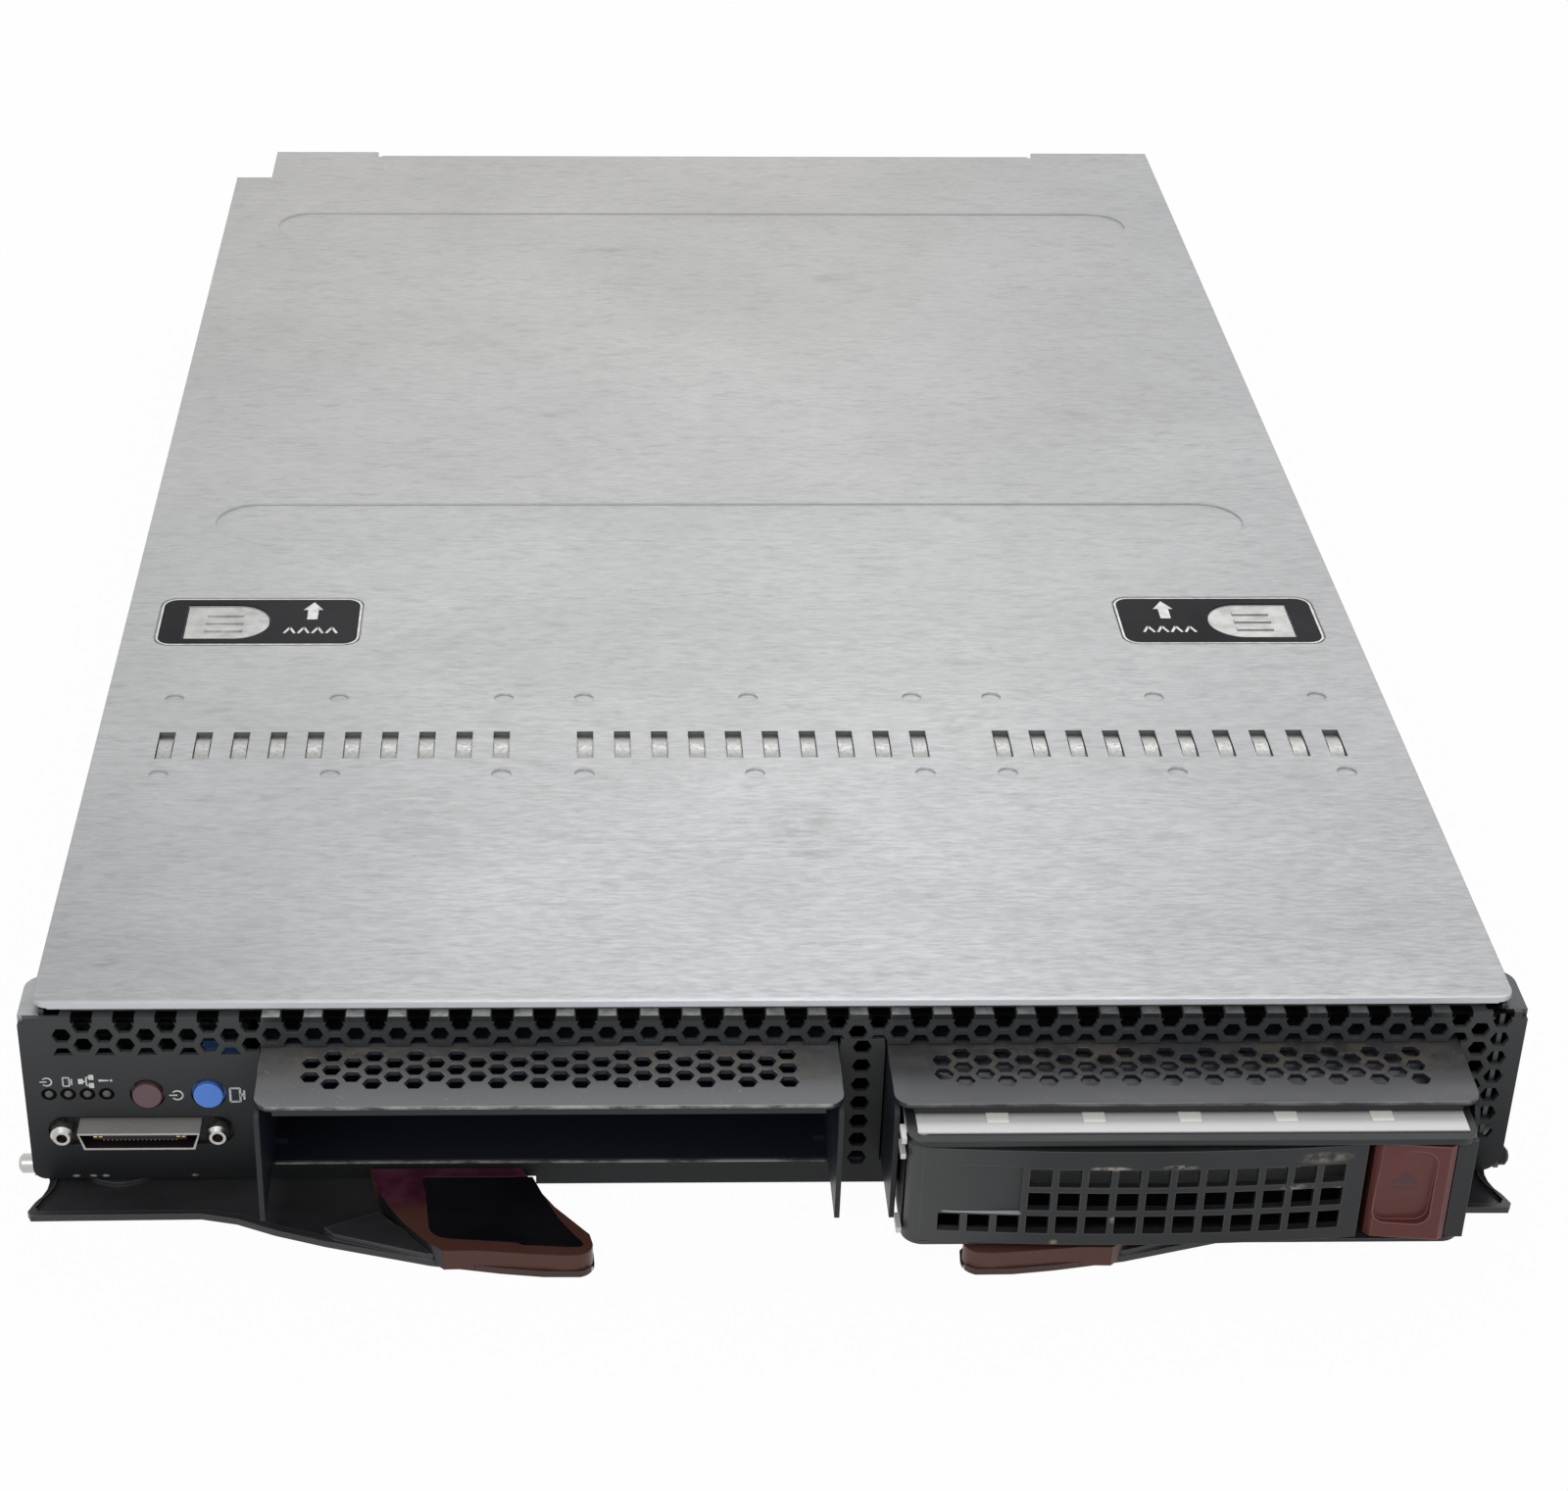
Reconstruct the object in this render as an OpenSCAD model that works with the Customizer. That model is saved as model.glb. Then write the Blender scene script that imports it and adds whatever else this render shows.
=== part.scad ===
// Blade server for a 7U enclosure, lying on its side: a sheet-metal tray with a sliding cover,
// two drive bays that stand out of the front panel, a drive carrier in the right bay and a pair
// of ejector levers. X is across the front, Y runs back into the enclosure, Z is up.
// Pieces are drawn from the front edge of the tray (y = 0), in the middle of its width and on its
// underside. centred() then moves them so that the origin is the middle of the underside.

/* [Tray] */
// Length of the tray from the front panel to the rear wall
tray_l = 452; // [446:1:480]
// Thickness of the tray, cover, panel and cage sheet
sheet = 1.0; // [0.8:0.1:1.0]
// Depth of the raised shelf over the levers, from the front
pocket_l = 20; // [18:0.5:30]
// Clear height under the raised shelf
pocket_h = 3.4; // [2.8:0.1:3.6]
// Distance that each front ear stands out past the side wall
ear_w = 4.05; // [3.2:0.05:5]
// Width of the flange turned inwards on top of each side wall
flange_w = 4.2; // [2:0.1:4.4]
// Width of the step in the rear left corner
notch_w = 10.5; // [6:0.5:12]
// Length of the step in the rear left corner
notch_l = 22; // [10:1:26]

/* [Front panel] */
// Width of the control area, left of the left bay
control_w = 45.7; // [44:0.1:60]
// Width of the vented post between the two bays
post_w = 9.4; // [8.6:0.1:14]
// Width of the vented end, right of the right bay
end_w = 12.4; // [8.6:0.1:20]
// Height of the vented band between the bays and the top of the panel
vent_band_h = 7.2; // [6.8:0.1:12]
// Radius of the panel's lower left corner
panel_left_r = 2.5; // [1:0.5:6]
// Radius of the panel's lower right corner
panel_right_r = 4.5; // [1:0.5:6]
// Straight length of each ear behind the panel
ear_l = 9; // [6:0.5:12]
// Hexagonal vent hole, across its flats
hex_af = 3.3; // [2.6:0.1:3.4]
// Distance between vent columns
hex_pitch = 3.98; // [3.96:0.01:4.1]
// Distance between vent rows in one column
hex_row = 4.43; // [4.1:0.01:4.6]

/* [Cover] */
// Depth of the pressed beads, dimples and label seats
press = 0.4; // [0.2:0.05:0.5]
// Height of the cover's side skirts
skirt_h = 10; // [4:0.5:20]
// Width of one stiffening bead
bead_w = 20; // [10:1:24]
// Distance from the cover's side to the end of a bead
bead_inset = 15.7; // [8:0.1:40]
// Width of a gasket slot
slot_w = 3.5; // [3.3:0.1:4.5]
// Length of a gasket slot
slot_l = 11; // [10.6:0.1:14]
// Distance between gasket slots
slot_pitch = 8; // [7:0.1:8.4]
// Slots in one group
slot_count = 10; // [4:1:10]
// Distance between the three groups of slots
group_pitch = 90; // [84:0.5:92]
// Distance from the cover's front edge to the slots
slot_y = 94.3; // [70:0.1:110]
// Width of a latch label
label_w = 47; // [44:0.5:50]
// Length of a latch label, front to back
label_l = 22.7; // [19:0.1:26]
// Length of a push tab along X
tab_w = 19; // [16:0.5:21]
// Width of a push tab, front to back
tab_l = 15.3; // [10:0.1:16]
// Distance that a push tab goes down
tab_travel = 2; // [1:0.1:2.4]

/* [Drive bays] */
// Distance that the cages stand out of the panel
bay_out = 19.5; // [16:0.5:22]
// Gap between a cage wall and a carrier
carrier_gap = 0.7; // [0.4:0.05:1]
// Radius of the cages' front corners in plan
cage_r = 3.5; // [1:0.5:6]

/* [Drive carrier] */
// Width of the disk drive
drive_w = 101.6; // [90:0.1:112]
// Length of the disk drive
drive_l = 147; // [130:1:162]
// Height of the disk drive
drive_h = 25.4; // [23:0.1:26]
// Thickness of the carrier's side rails
rail_t = 2.5; // [2.3:0.1:4]
// Forward bow of the carrier's door in its middle
door_bow = 2; // [0.5:0.1:3]
// Size of the square vents in the door
door_vent = 4.2; // [2:0.1:4.6]
// Distance between the square vents
door_pitch = 5.5; // [4.8:0.1:6.5]
// Radius of the door's hinge pin
pin_r = 1.2; // [0.8:0.1:1.5]
// Width of the release button
release_w = 14.8; // [12:0.1:14.8]
// Distance that the release button goes in
release_travel = 1.5; // [0.5:0.1:1.8]

/* [Levers] */
// Distance of each lever's pivot from the outside of the side wall
pivot_inset = 12.4; // [12:0.1:15]
// Distance of the pivots behind the panel
pivot_y = 7; // [6:0.5:9]
// Thickness of the lever plate
lever_t = 1.4; // [1.2:0.1:1.8]
// Height of the grip's rear edge above the underside
grip_rear_z = 4.3; // [3.8:0.1:4.5]
// Height that the grip rises towards its front
grip_rise = 0.9; // [0.2:0.1:1]
// Radius of the pivot's shoulder
shoulder_r = 3; // [2.4:0.1:4]

/* [Controls] */
// Radius of a button's cap
button_r = 2.8; // [2:0.1:3]
// Distance that a button goes in
button_travel = 0.8; // [0.4:0.1:0.9]
// Height of the buttons and lamps above the underside
button_z = 22.4; // [20:0.1:26]
// Distance between the port's jackscrews
jack_pitch = 29.9; // [28:0.1:32]
// Radius of the thread in a jackscrew
jack_bore_r = 1.05; // [0.9:0.05:1.2]

/* [Main board] */
// Height of the main board's underside
board_z = 6; // [4:0.5:6.5]
// Thickness of every circuit board
pcb_t = 1.6; // [1:0.1:1.6]
// Distance between heatsink fins
fin_pitch = 2.8; // [2.2:0.1:6]
// Memory modules in each bank
module_count = 6; // [2:1:6]
// Distance between memory modules
module_pitch = 10; // [8.5:0.5:11]
// Bore radius of the rear guide sockets
guide_r = 4; // [2:0.1:5]
// Length of the rear guide sockets
guide_l = 20; // [10:1:24]

/* [Fits] */
// Gap between the cover's skirts and the tray
skirt_gap = 0.3; // [0.3:0.05:0.6]
// Gap round a sheet that passes through another
fit = 0.3; // [0.2:0.05:0.5]
// Running clearance of a pin in its bore
pin_fit = 0.06; // [0.02:0.01:0.1]
// Gap round a screw in its hole
screw_fit = 0.15; // [0.05:0.05:0.3]

/* [Hidden] */
$fn = 48;

bay_w = drive_w + 2 * (rail_t + carrier_gap + sheet);
panel_w = control_w + post_w + end_w + 2 * bay_w;
panel_half = panel_w / 2;
tray_half = panel_half - ear_w;
inner_half = tray_half - sheet;
cover_half = tray_half + skirt_gap + sheet;
cover_l = tray_l + 0.5;
shelf_z = pocket_h + sheet;
floor_z = shelf_z + sheet;
drive_z = floor_z + 0.25;
drive_top = drive_z + drive_h;
hem_h = 1.9;
bay_top = drive_top + 0.25 + hem_h;
panel_h = bay_top + vent_band_h;
cover_under = panel_h + 1.6;
body_h = cover_under + sheet;
leaf_t = 0.4;
tab_z = cover_under - press - 0.6;
wall_top = cover_under - 0.3;
lever_z = 0.2;
lever_top = lever_z + lever_t;
lever_slot_h = lever_top + fit;
pivot_x = tray_half - pivot_inset;
lever_reach = 81.3;
lip_half = pivot_x - lever_reach;
notch_x = -cover_half + notch_w;
notch_y = cover_l - notch_l;
tray_notch_x = notch_x + sheet + skirt_gap;
tray_notch_y = notch_y - sheet - skirt_gap;
hex_r = hex_af / sqrt(3);
hex_top = panel_h - 2;
bay_half = bay_w / 2;
bay_inner = bay_half - sheet;
bay_left_x = -panel_half + control_w + bay_half;
bay_right_x = bay_left_x + bay_w + post_w;
bays = [bay_left_x, bay_right_x];
drive_y = 9 - bay_out;
bay_l = drive_y + drive_l + 5.5;
cage_under = bay_top - sheet;

// ---- drawing helpers ----

// Moves a piece drawn from the tray's front edge so that the tray is centred on the origin
module centred() translate([0, -tray_l / 2, 0]) children();

// A box between two limits on each axis
module block(x, y, z)
    translate([x[0], y[0], z[0]]) cube([x[1] - x[0], y[1] - y[0], z[1] - z[0]]);

// The children and their mirror image across the middle
module both_sides() {
    children();
    mirror([1, 0, 0]) children();
}

// A flat shape drawn in X and Z, as a plate from y to y + t
module upright(y, t) translate([0, y + t, 0]) rotate([90, 0, 0]) linear_extrude(t) children();

// A flat shape drawn in Y and Z, as a bar from x to x + t
module crosswise(x, t) translate([x, 0, 0]) rotate([90, 0, 90]) linear_extrude(t) children();

// A round bar along Y
module rod_y(r, x, z, y0, y1)
    translate([x, y0, z]) rotate([-90, 0, 0]) cylinder(r = r, h = y1 - y0);

// A round bar along X
module rod_x(r, y, z, x0, x1)
    translate([x0, y, z]) rotate([0, 90, 0]) cylinder(r = r, h = x1 - x0);

// A rectangle with round corners, about its middle
module rounded(w, l, r) {
    square([w - 2 * r, l], center = true);
    square([w, l - 2 * r], center = true);
    for (sx = [-1, 1], sy = [-1, 1])
        translate([sx * (w / 2 - r), sy * (l / 2 - r)]) circle(r);
}

// A rectangle with both its -Y corners rounded, from y0 to y1
module front_rounded(half, y0, y1, r) {
    translate([-half, y0 + r]) square([2 * half, y1 - y0 - r]);
    translate([-half + r, y0]) square([2 * (half - r), r + 0.01]);
    for (s = [-1, 1]) translate([s * (half - r), y0 + r]) circle(r);
}

// ---- tray and its fixed sheet metal ----

module ear_plan(w) {
    translate([tray_half, 0]) square([w, ear_l]);
    intersection() {
        translate([tray_half, ear_l]) circle(w);
        translate([tray_half, ear_l - 0.01]) square(w + 1);
    }
}

// The side wall's nose, stepped out to the width of the panel and closed on top
module ear() {
    translate([0, 0, lever_slot_h]) linear_extrude(panel_h - lever_slot_h) difference() {
        ear_plan(ear_w);
        ear_plan(ear_w - sheet);
    }
    translate([0, 0, panel_h - sheet]) linear_extrude(sheet) ear_plan(ear_w);
}

rear_t = sheet;
rear_h = panel_h;
connector_l = 16;
rear_foot = 9;
guide_half = 8;
guides = [tray_notch_x + sheet + fit + guide_half, inner_half - fit - guide_half];
rear_x = [guides[0] + guide_half + fit, guides[1] - guide_half - fit];
power_x = [guides[1] - 68.4, guides[1] - 24.4];
signal_x = [guides[0] + 13.9, guides[0] + 99.9];
connector_z = [board_z + pcb_t, board_z + pcb_t + 16];

// Openings in the rear wall for the two midplane connectors and for the air
module rear_openings() {
    for (x = [power_x, signal_x]) {
        translate([x[0] - fit, connector_z[0] - 3])
            square([x[1] - x[0] + 2 * fit, connector_z[1] - connector_z[0] + 3 + fit]);
        for (u = [x[0] + 1 : 6 : x[1] - 3]) translate([u, connector_z[1] + 3.4]) square([3, 9]);
    }
    for (x = [signal_x[1] + 8 : 6 : power_x[0] - 8]) translate([x, 7]) square([3, 28]);
}

module base_tray() centred() color("#c2c5c7") {
    difference() {
        union() {
            block([-tray_half, tray_half], [pocket_l - sheet, tray_l], [0, sheet]);
            block([-tray_half, tray_half], [pocket_l - sheet, pocket_l], [0, shelf_z]);
            block([-tray_half, tray_half], [0, pocket_l], [pocket_h, shelf_z]);
            both_sides() {
                block([inner_half, tray_half], [0, tray_l], [pocket_h, wall_top]);
                block([inner_half, tray_half], [pocket_l - sheet, tray_l], [0, wall_top]);
                block([tray_half - flange_w, tray_half], [ear_l, tray_l],
                    [wall_top - sheet, wall_top]);
                ear();
            }
            block([tray_notch_x, tray_notch_x + sheet], [tray_notch_y - sheet, tray_l],
                [0, wall_top]);
            block([-tray_half, tray_notch_x + sheet], [tray_notch_y - sheet, tray_notch_y],
                [0, wall_top]);
        }
        block([-tray_half - 1, tray_notch_x], [tray_notch_y, tray_l + 1], [-1, body_h]);
        block([-tray_half, -inner_half + 0.01], [-1, control_y + pcb_t + 0.4], [shelf_z, 33]);
        both_sides() translate([pivot_x, pivot_y, pocket_h - 1])
            cylinder(r = pivot_shank_r + screw_fit, h = sheet + 2);
        both_sides() rod_x(stud_stem_r + screw_fit, stud_y, stud_z,
            panel_half - sheet - 1, panel_half + 1);
    }
}

// Rear wall between the two guide sockets, welded to the floor by its foot
module rear_panel() centred() color("#b9bcbe") {
    upright(tray_l - rear_t, rear_t) difference() {
        translate([rear_x[0], sheet]) square([rear_x[1] - rear_x[0], rear_h - sheet]);
        rear_openings();
    }
    block(rear_x, [tray_l - rear_foot, tray_l], [sheet, 2 * sheet]);
}

// Hexagonal vents along the top of the panel and down its right end, with one column between
// the bays. The lowest row over each bay runs out into the bay's opening.
vent_x0 = -panel_half + 8.15;
vent_columns = floor((panel_half - 4.6 - vent_x0) / hex_pitch) + 1;
vent_left_z = hex_top - 6.8;
vent_end_z = 9;
end_x = bay_right_x + bay_half + 1.6;
post_x = (bay_left_x + bay_right_x) / 2;

module vent_grid() {
    for (column = [0 : vent_columns - 1]) {
        x = vent_x0 + column * hex_pitch;
        top = hex_top - (column % 2 == 0 ? hex_row / 2 : 0);
        rows = x > end_x ? floor((top - vent_end_z) / hex_row) : 1;
        for (row = [0 : rows]) translate([x, top - row * hex_row]) circle(hex_r, $fn = 6);
    }
}

module vent_region() {
    translate([-panel_half, vent_left_z])
        square([bay_left_x - bay_half + panel_half, panel_h - vent_left_z]);
    translate([bay_left_x - bay_half - 1, bay_top]) square([end_x + 200, panel_h - bay_top]);
    translate([end_x, vent_end_z - hex_row])
        square([panel_half - end_x, panel_h - vent_end_z + hex_row]);
}

module panel_vents() {
    difference() {
        intersection() {
            vent_grid();
            vent_region();
        }
        translate([post_x - 4.2, 0]) square([8.4, bay_top + 1.4]);
    }
    for (row = [0 : 6]) translate([post_x, bay_top - 0.5 - row * hex_row]) circle(hex_r, $fn = 6);
}

control_x = -panel_half;
lamp_x = [for (i = [0 : 3]) control_x + 4.65 + 3.67 * i];
power_x0 = control_x + 23.45;
id_x = control_x + 35.15;
port_x = control_x + 21.7;
port_z = 14;
lamp_r = 1.5;
button_gap = 0.6;

// What the panel's lower right corner loses when it is rounded
module corner_cut(r) translate([panel_half - r, lever_slot_h]) difference() {
    translate([0, -1]) square([r + 1, r + 1]);
    translate([0, r]) circle(r);
}

module panel_outline() {
    difference() {
        union() {
            translate([-panel_half, lever_slot_h]) square([panel_w, panel_h - lever_slot_h]);
            translate([-lip_half, 0]) square([2 * lip_half, lever_slot_h + 1]);
        }
        mirror([1, 0, 0]) corner_cut(panel_left_r);
        corner_cut(panel_right_r);
        both_sides() translate([panel_half - 1.2, panel_h - 1.6]) square([2, 2]);
    }
}

module panel_openings() {
    for (x = bays) translate([x - bay_half - fit, floor_z])
        square([bay_w + 2 * fit, bay_top + fit - floor_z]);
    for (x = lamp_x) translate([x, button_z]) circle(lamp_r);
    for (x = [power_x0, id_x]) translate([x, button_z]) circle(button_r + button_gap);
    translate([port_x, port_z - 0.4]) rounded(35.8, 6.8, 3.39);
}

panel_flange_l = 8;

module front_panel() centred() color("#1b1c1e") {
    upright(-sheet, sheet) difference() {
        panel_outline();
        panel_openings();
        panel_vents();
    }
    block([-panel_half + 7.8, panel_half - 7.8], [0, panel_flange_l],
        [panel_h - sheet, panel_h]);
}

gasket_t = 0.3;

// Spring-finger strip clipped over the panel's top flange, under the cover
module front_gasket() centred() color("#a9abad") {
    block([-panel_half + 8, panel_half - 8], [1.2, panel_flange_l - 0.5],
        [panel_h, panel_h + gasket_t]);
    for (column = [2 * ceil(control_w / hex_pitch / 2 - 1) : 2 : vent_columns - 3]) {
        x = vent_x0 + column * hex_pitch;
        block([x - 1.7, x + 1.7], [-sheet - gasket_t, 1.3], [panel_h, panel_h + gasket_t]);
        block([x - 1.7, x + 1.7], [-sheet - gasket_t, -sheet], [panel_h - 0.9, panel_h + 0.01]);
        crosswise(x - 1.7, 3.4) intersection() {
            translate([4, panel_h]) difference() {
                circle(1.2);
                circle(1.2 - gasket_t);
            }
            translate([0, panel_h + 0.01]) square([10, 3]);
        }
    }
}

stud_y = 1.6;
stud_r = 1.9;
stud_z = lever_slot_h + stud_r - 0.1;
stud_stem_r = 1.3;
stud_out = [3, 1.9];

// Riveted locating stud with a dome end
module stud(out) {
    rod_x(stud_r, stud_y, stud_z, panel_half, panel_half + out - 0.6);
    translate([panel_half + out - 0.6, stud_y, stud_z]) rotate([0, 90, 0])
        cylinder(r1 = stud_r, r2 = stud_r - 0.7, h = 0.6);
    rod_x(stud_stem_r, stud_y, stud_z, panel_half - sheet - 0.01, panel_half + 0.01);
    rod_x(stud_stem_r + 0.25, stud_y, stud_z, panel_half - sheet - 0.8, panel_half - sheet);
}

module side_studs() centred() color("#b9b9b6") {
    mirror([1, 0, 0]) stud(stud_out[0]);
    stud(stud_out[1]);
}

// ---- drive bays ----

module bay_floor() centred() color("#202123") {
    block([bay_left_x - bay_half, bay_right_x + bay_half], [0, bay_l], [shelf_z, floor_z]);
    block([bay_left_x - bay_half, bay_right_x + bay_half], [bay_l - sheet, bay_l],
        [sheet, shelf_z + 0.01]);
}

cage_columns = 24;
cage_pitch = 3.915;
cage_row = 4.3;
cage_front_z = floor_z + 0.9;

module cage_vents() {
    for (column = [0 : cage_columns - 1]) {
        three = column % 2 == 1;
        first = three ? -3.6 : -3.6 - cage_row / 2;
        for (row = [0 : three ? 2 : 1])
            translate([(column - (cage_columns - 1) / 2) * cage_pitch, first - row * cage_row])
                circle(hex_r, $fn = 6);
    }
}

// Inverted U of sheet that holds one drive: its top has a rolled front edge and hexagonal vents
module cage() {
    translate([0, 0, cage_under]) linear_extrude(sheet) difference() {
        front_rounded(bay_half, -bay_out, bay_l, cage_r);
        cage_vents();
    }
    block([-bay_half + cage_r, bay_half - cage_r], [-bay_out, -bay_out + sheet],
        [bay_top - hem_h, bay_top]);
    both_sides() crosswise(bay_inner, sheet) difference() {
        union() {
            translate([-bay_out, cage_front_z]) square([bay_out, cage_under - cage_front_z + 0.01]);
            translate([-sheet, floor_z]) square([bay_l + sheet, cage_under - floor_z + 0.01]);
        }
        translate([-bay_out - 0.01, cage_under - cage_r + 0.01]) difference() {
            square(cage_r + 0.01);
            translate([cage_r + 0.01, 0]) circle(cage_r);
        }
    }
}

module left_cage() centred() color("#1e1f21") translate([bay_left_x, 0, 0]) cage();
module right_cage() centred() color("#1e1f21") translate([bay_right_x, 0, 0]) cage();

rail_w = 2.4;
rail_h = 1.3;

// Low ledges that carry the feet of a carrier's side rails
module bay_rails() centred() color("#2a2b2d")
    for (x = bays) translate([x, 0, 0]) both_sides()
        block([bay_inner - rail_w, bay_inner], [5, bay_l - 7], [floor_z, floor_z + rail_h]);

beam_y = bay_l + 2 + pcb_t;
beam_h = tab_z - leaf_t - tab_travel - 0.6;
beam_flange_l = 13.5;

// Cross member behind the bays: it carries the drive backplane and ties the side walls
module cross_beam() centred() color("#b6b9bb") {
    upright(beam_y, sheet) difference() {
        translate([-inner_half, sheet]) square([2 * inner_half, beam_h - sheet]);
        for (x = bays) translate([x, drive_top - 2.5]) rounded(84, 9, 3);
        translate([-22, floor_z]) square([44, 12]);
    }
    block([-inner_half, inner_half], [beam_y, beam_y + beam_flange_l], [beam_h - sheet, beam_h]);
}

module drive_backplane() centred() color("#1d5b3a") upright(beam_y - pcb_t, pcb_t) difference() {
    translate([bay_left_x - bay_half + 1, floor_z + 0.6])
        square([bay_right_x - bay_left_x + bay_w - 2, bay_top - floor_z + 1.2]);
    for (x = bays, i = [-2 : 2]) translate([x + 16 * i, drive_top - 2.5]) rounded(12, 6, 2);
}

socket_w = 42;
socket_z = floor_z + 3;
socket_h = 6;
socket_l = 8;
bridge_half = 20;

// Drive receptacles on the backplane, and the bridge that links it to the main board
module backplane_connectors() centred() color("#17181a") {
    for (x = bays) translate([x, 0, 0]) difference() {
        block([-socket_w / 2, socket_w / 2], [beam_y - pcb_t - socket_l, beam_y - pcb_t],
            [socket_z, socket_z + socket_h]);
        block([-socket_w / 2 + 3, socket_w / 2 - 3],
            [beam_y - pcb_t - socket_l - 1, beam_y - pcb_t - 3],
            [socket_z + 1.2, socket_z + socket_h - 2]);
    }
    block([-bridge_half, bridge_half], [beam_y, board_y0 + 6],
        [board_z + pcb_t, board_z + pcb_t + 7]);
}

// ---- control panel at the front left ----

control_y = 9;
switch_y = 4;
control_half = 20;
control_board_x = control_x + 22.5;

// Small board that stands behind the panel, with one switch behind each button
module control_board() centred() color("#1d5b3a") {
    block([control_board_x - control_half, control_board_x + control_half],
        [control_y, control_y + pcb_t], [shelf_z, 32]);
    for (x = [power_x0, id_x]) {
        block([x - 3, x + 3], [switch_y + 0.6, control_y + 0.01], [button_z - 3, button_z + 3]);
        rod_y(1.5, x, button_z, switch_y, switch_y + 1);
    }
}

module status_leds() centred() color("#3a3f42")
    for (x = lamp_x) {
        rod_y(lamp_r - 0.2, x, button_z, -0.8 * sheet, 2);
        rod_y(lamp_r + 0.15, x, button_z, 1.5, control_y);
    }

// A button: the cap passes the panel and its collar stops behind it
module button(x) {
    cap_back = switch_y - button_travel - 0.1;
    rod_y(button_r, x, button_z, -sheet - 0.7, cap_back);
    rod_y(button_r + 1.1, x, button_z, fit, fit + 1);
}

module power_button() centred() color("#3b1418") button(power_x0);
module id_button() centred() color("#1f5fc4") button(id_x);

shell_h = 3.9;
shell_top = 23.5;
shell_bottom = 21.3;
shell_out = 5;
shell_t = 0.4;

module port_profile(grow) translate([port_x, port_z]) polygon([
    [-shell_top / 2 - grow, shell_h / 2 + grow], [shell_top / 2 + grow, shell_h / 2 + grow],
    [shell_bottom / 2 + grow, -shell_h / 2 - grow], [-shell_bottom / 2 - grow, -shell_h / 2 - grow]]);

// Body of the port behind the panel, with its contact tongue
module port_housing() centred() color("#121315") {
    difference() {
        block([port_x - jack_pitch / 2 - 3.4, port_x + jack_pitch / 2 + 3.4], [0, control_y],
            [port_z - 4.6, port_z + 3.4]);
        upright(-1, 7) port_profile(0.05);
        for (s = [-1, 1]) rod_y(1.6 + screw_fit, port_x + s * jack_pitch / 2, port_z, -1, 5);
    }
    block([port_x - 9, port_x + 9], [-shell_out + 1.4, 6.01], [port_z - 0.5, port_z + 0.4]);
}

module port_shell() centred() color("#c9c9c6") upright(-shell_out, shell_out + 5) difference() {
    port_profile(0);
    port_profile(-shell_t);
}

// Hexagonal jackscrews with a threaded nose, one each side of the port
module port_jackscrews() centred() color("#bdbdb8")
    for (s = [-1, 1]) translate([port_x + s * jack_pitch / 2, 0, port_z]) {
        difference() {
            union() {
                rod_y(2.3, 0, 0, -3.2, 0);
                translate([0, -3.2, 0]) rotate([90, 0, 0]) cylinder(r1 = 2.3, r2 = 1.6, h = 0.8);
                rod_y(1.6, 0, 0, -0.01, 4.5);
            }
            rod_y(jack_bore_r, 0, 0, -5, 2.5);
        }
    }

// ---- main board ----

board_y0 = beam_y + beam_flange_l + 2;
board_y1 = tray_l - 5;
board_l = board_y1 - board_y0;
board_half = inner_half - 2.5;
board_top = board_z + pcb_t;
stand_r = 2.6;
hold_r = 1.5;
// Screw places as shares of the board's width and length
hold_places = [for (u = [-0.97, 0.36, 0.97]) [u, 0.02], for (u = [-0.97, 0.97]) [u, 0.5],
    [-0.92, 0.86], [0.4, 0.96], [0.97, 0.86]];

function hold_x(p) = p[0] * board_half;
function hold_y(p) = board_y0 + p[1] * board_l;

module motherboard() centred() color("#1c6040") difference() {
    block([-board_half, board_half], [board_y0, board_y1], [board_z, board_top]);
    for (x = [[-board_half - 1, guides[0] + guide_half + 1], [guides[1] - guide_half - 1, board_half + 1]])
        block(x, [tray_notch_y - 4, board_y1 + 1], [board_z - 1, board_top + 1]);
    for (p = hold_places) translate([hold_x(p), hold_y(p), board_z - 1])
        cylinder(r = hold_r + screw_fit, h = pcb_t + 2);
}

module board_standoffs() centred() color("#c9b26a")
    for (p = hold_places) translate([hold_x(p), hold_y(p), sheet]) difference() {
        cylinder(r = stand_r, h = board_z - sheet, $fn = 6);
        translate([0, 0, 1]) cylinder(r = hold_r + screw_fit, h = board_z);
    }

module board_screws() centred() color("#b9bbbd")
    for (p = hold_places) translate([hold_x(p), hold_y(p), 0]) difference() {
        union() {
            translate([0, 0, board_top]) cylinder(r = 2.8, h = 1.6);
            translate([0, 0, board_z - 3]) cylinder(r = hold_r, h = pcb_t + 3.01);
        }
        translate([0, 0, board_top + 0.7]) cylinder(r = 1.1, h = 2, $fn = 6);
    }

cpu_y = [board_y0 + 0.266 * board_l, board_y0 + 0.6436 * board_l];
sink_w = 0.308 * board_l;
cpu_half = 25;
socket_top = board_top + 4;
lid_top = socket_top + 2.4;
sink_top = body_h - 2.6;

module cpu_sockets() centred() color("#2b2c2e")
    for (y = cpu_y) translate([0, y, board_top]) difference() {
        translate([-cpu_half, -cpu_half, 0]) cube([2 * cpu_half, 2 * cpu_half, 4]);
        translate([-cpu_half + 4, -cpu_half + 4, 2.4]) cube([2 * cpu_half - 8, 2 * cpu_half - 8, 4]);
    }

module processors() centred() color("#c4c6c8")
    for (y = cpu_y) translate([0, y, 0]) {
        block([-cpu_half + 4.3, cpu_half - 4.3], [-cpu_half + 4.3, cpu_half - 4.3],
            [board_top + 2.4, socket_top]);
        linear_h = lid_top - socket_top;
        translate([0, 0, socket_top - 0.01]) linear_extrude(linear_h + 0.01) rounded(36, 36, 2);
    }

sink_base = 4;
fin_t = 0.6;
sink_hole = sink_w / 2 - 5;

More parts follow.
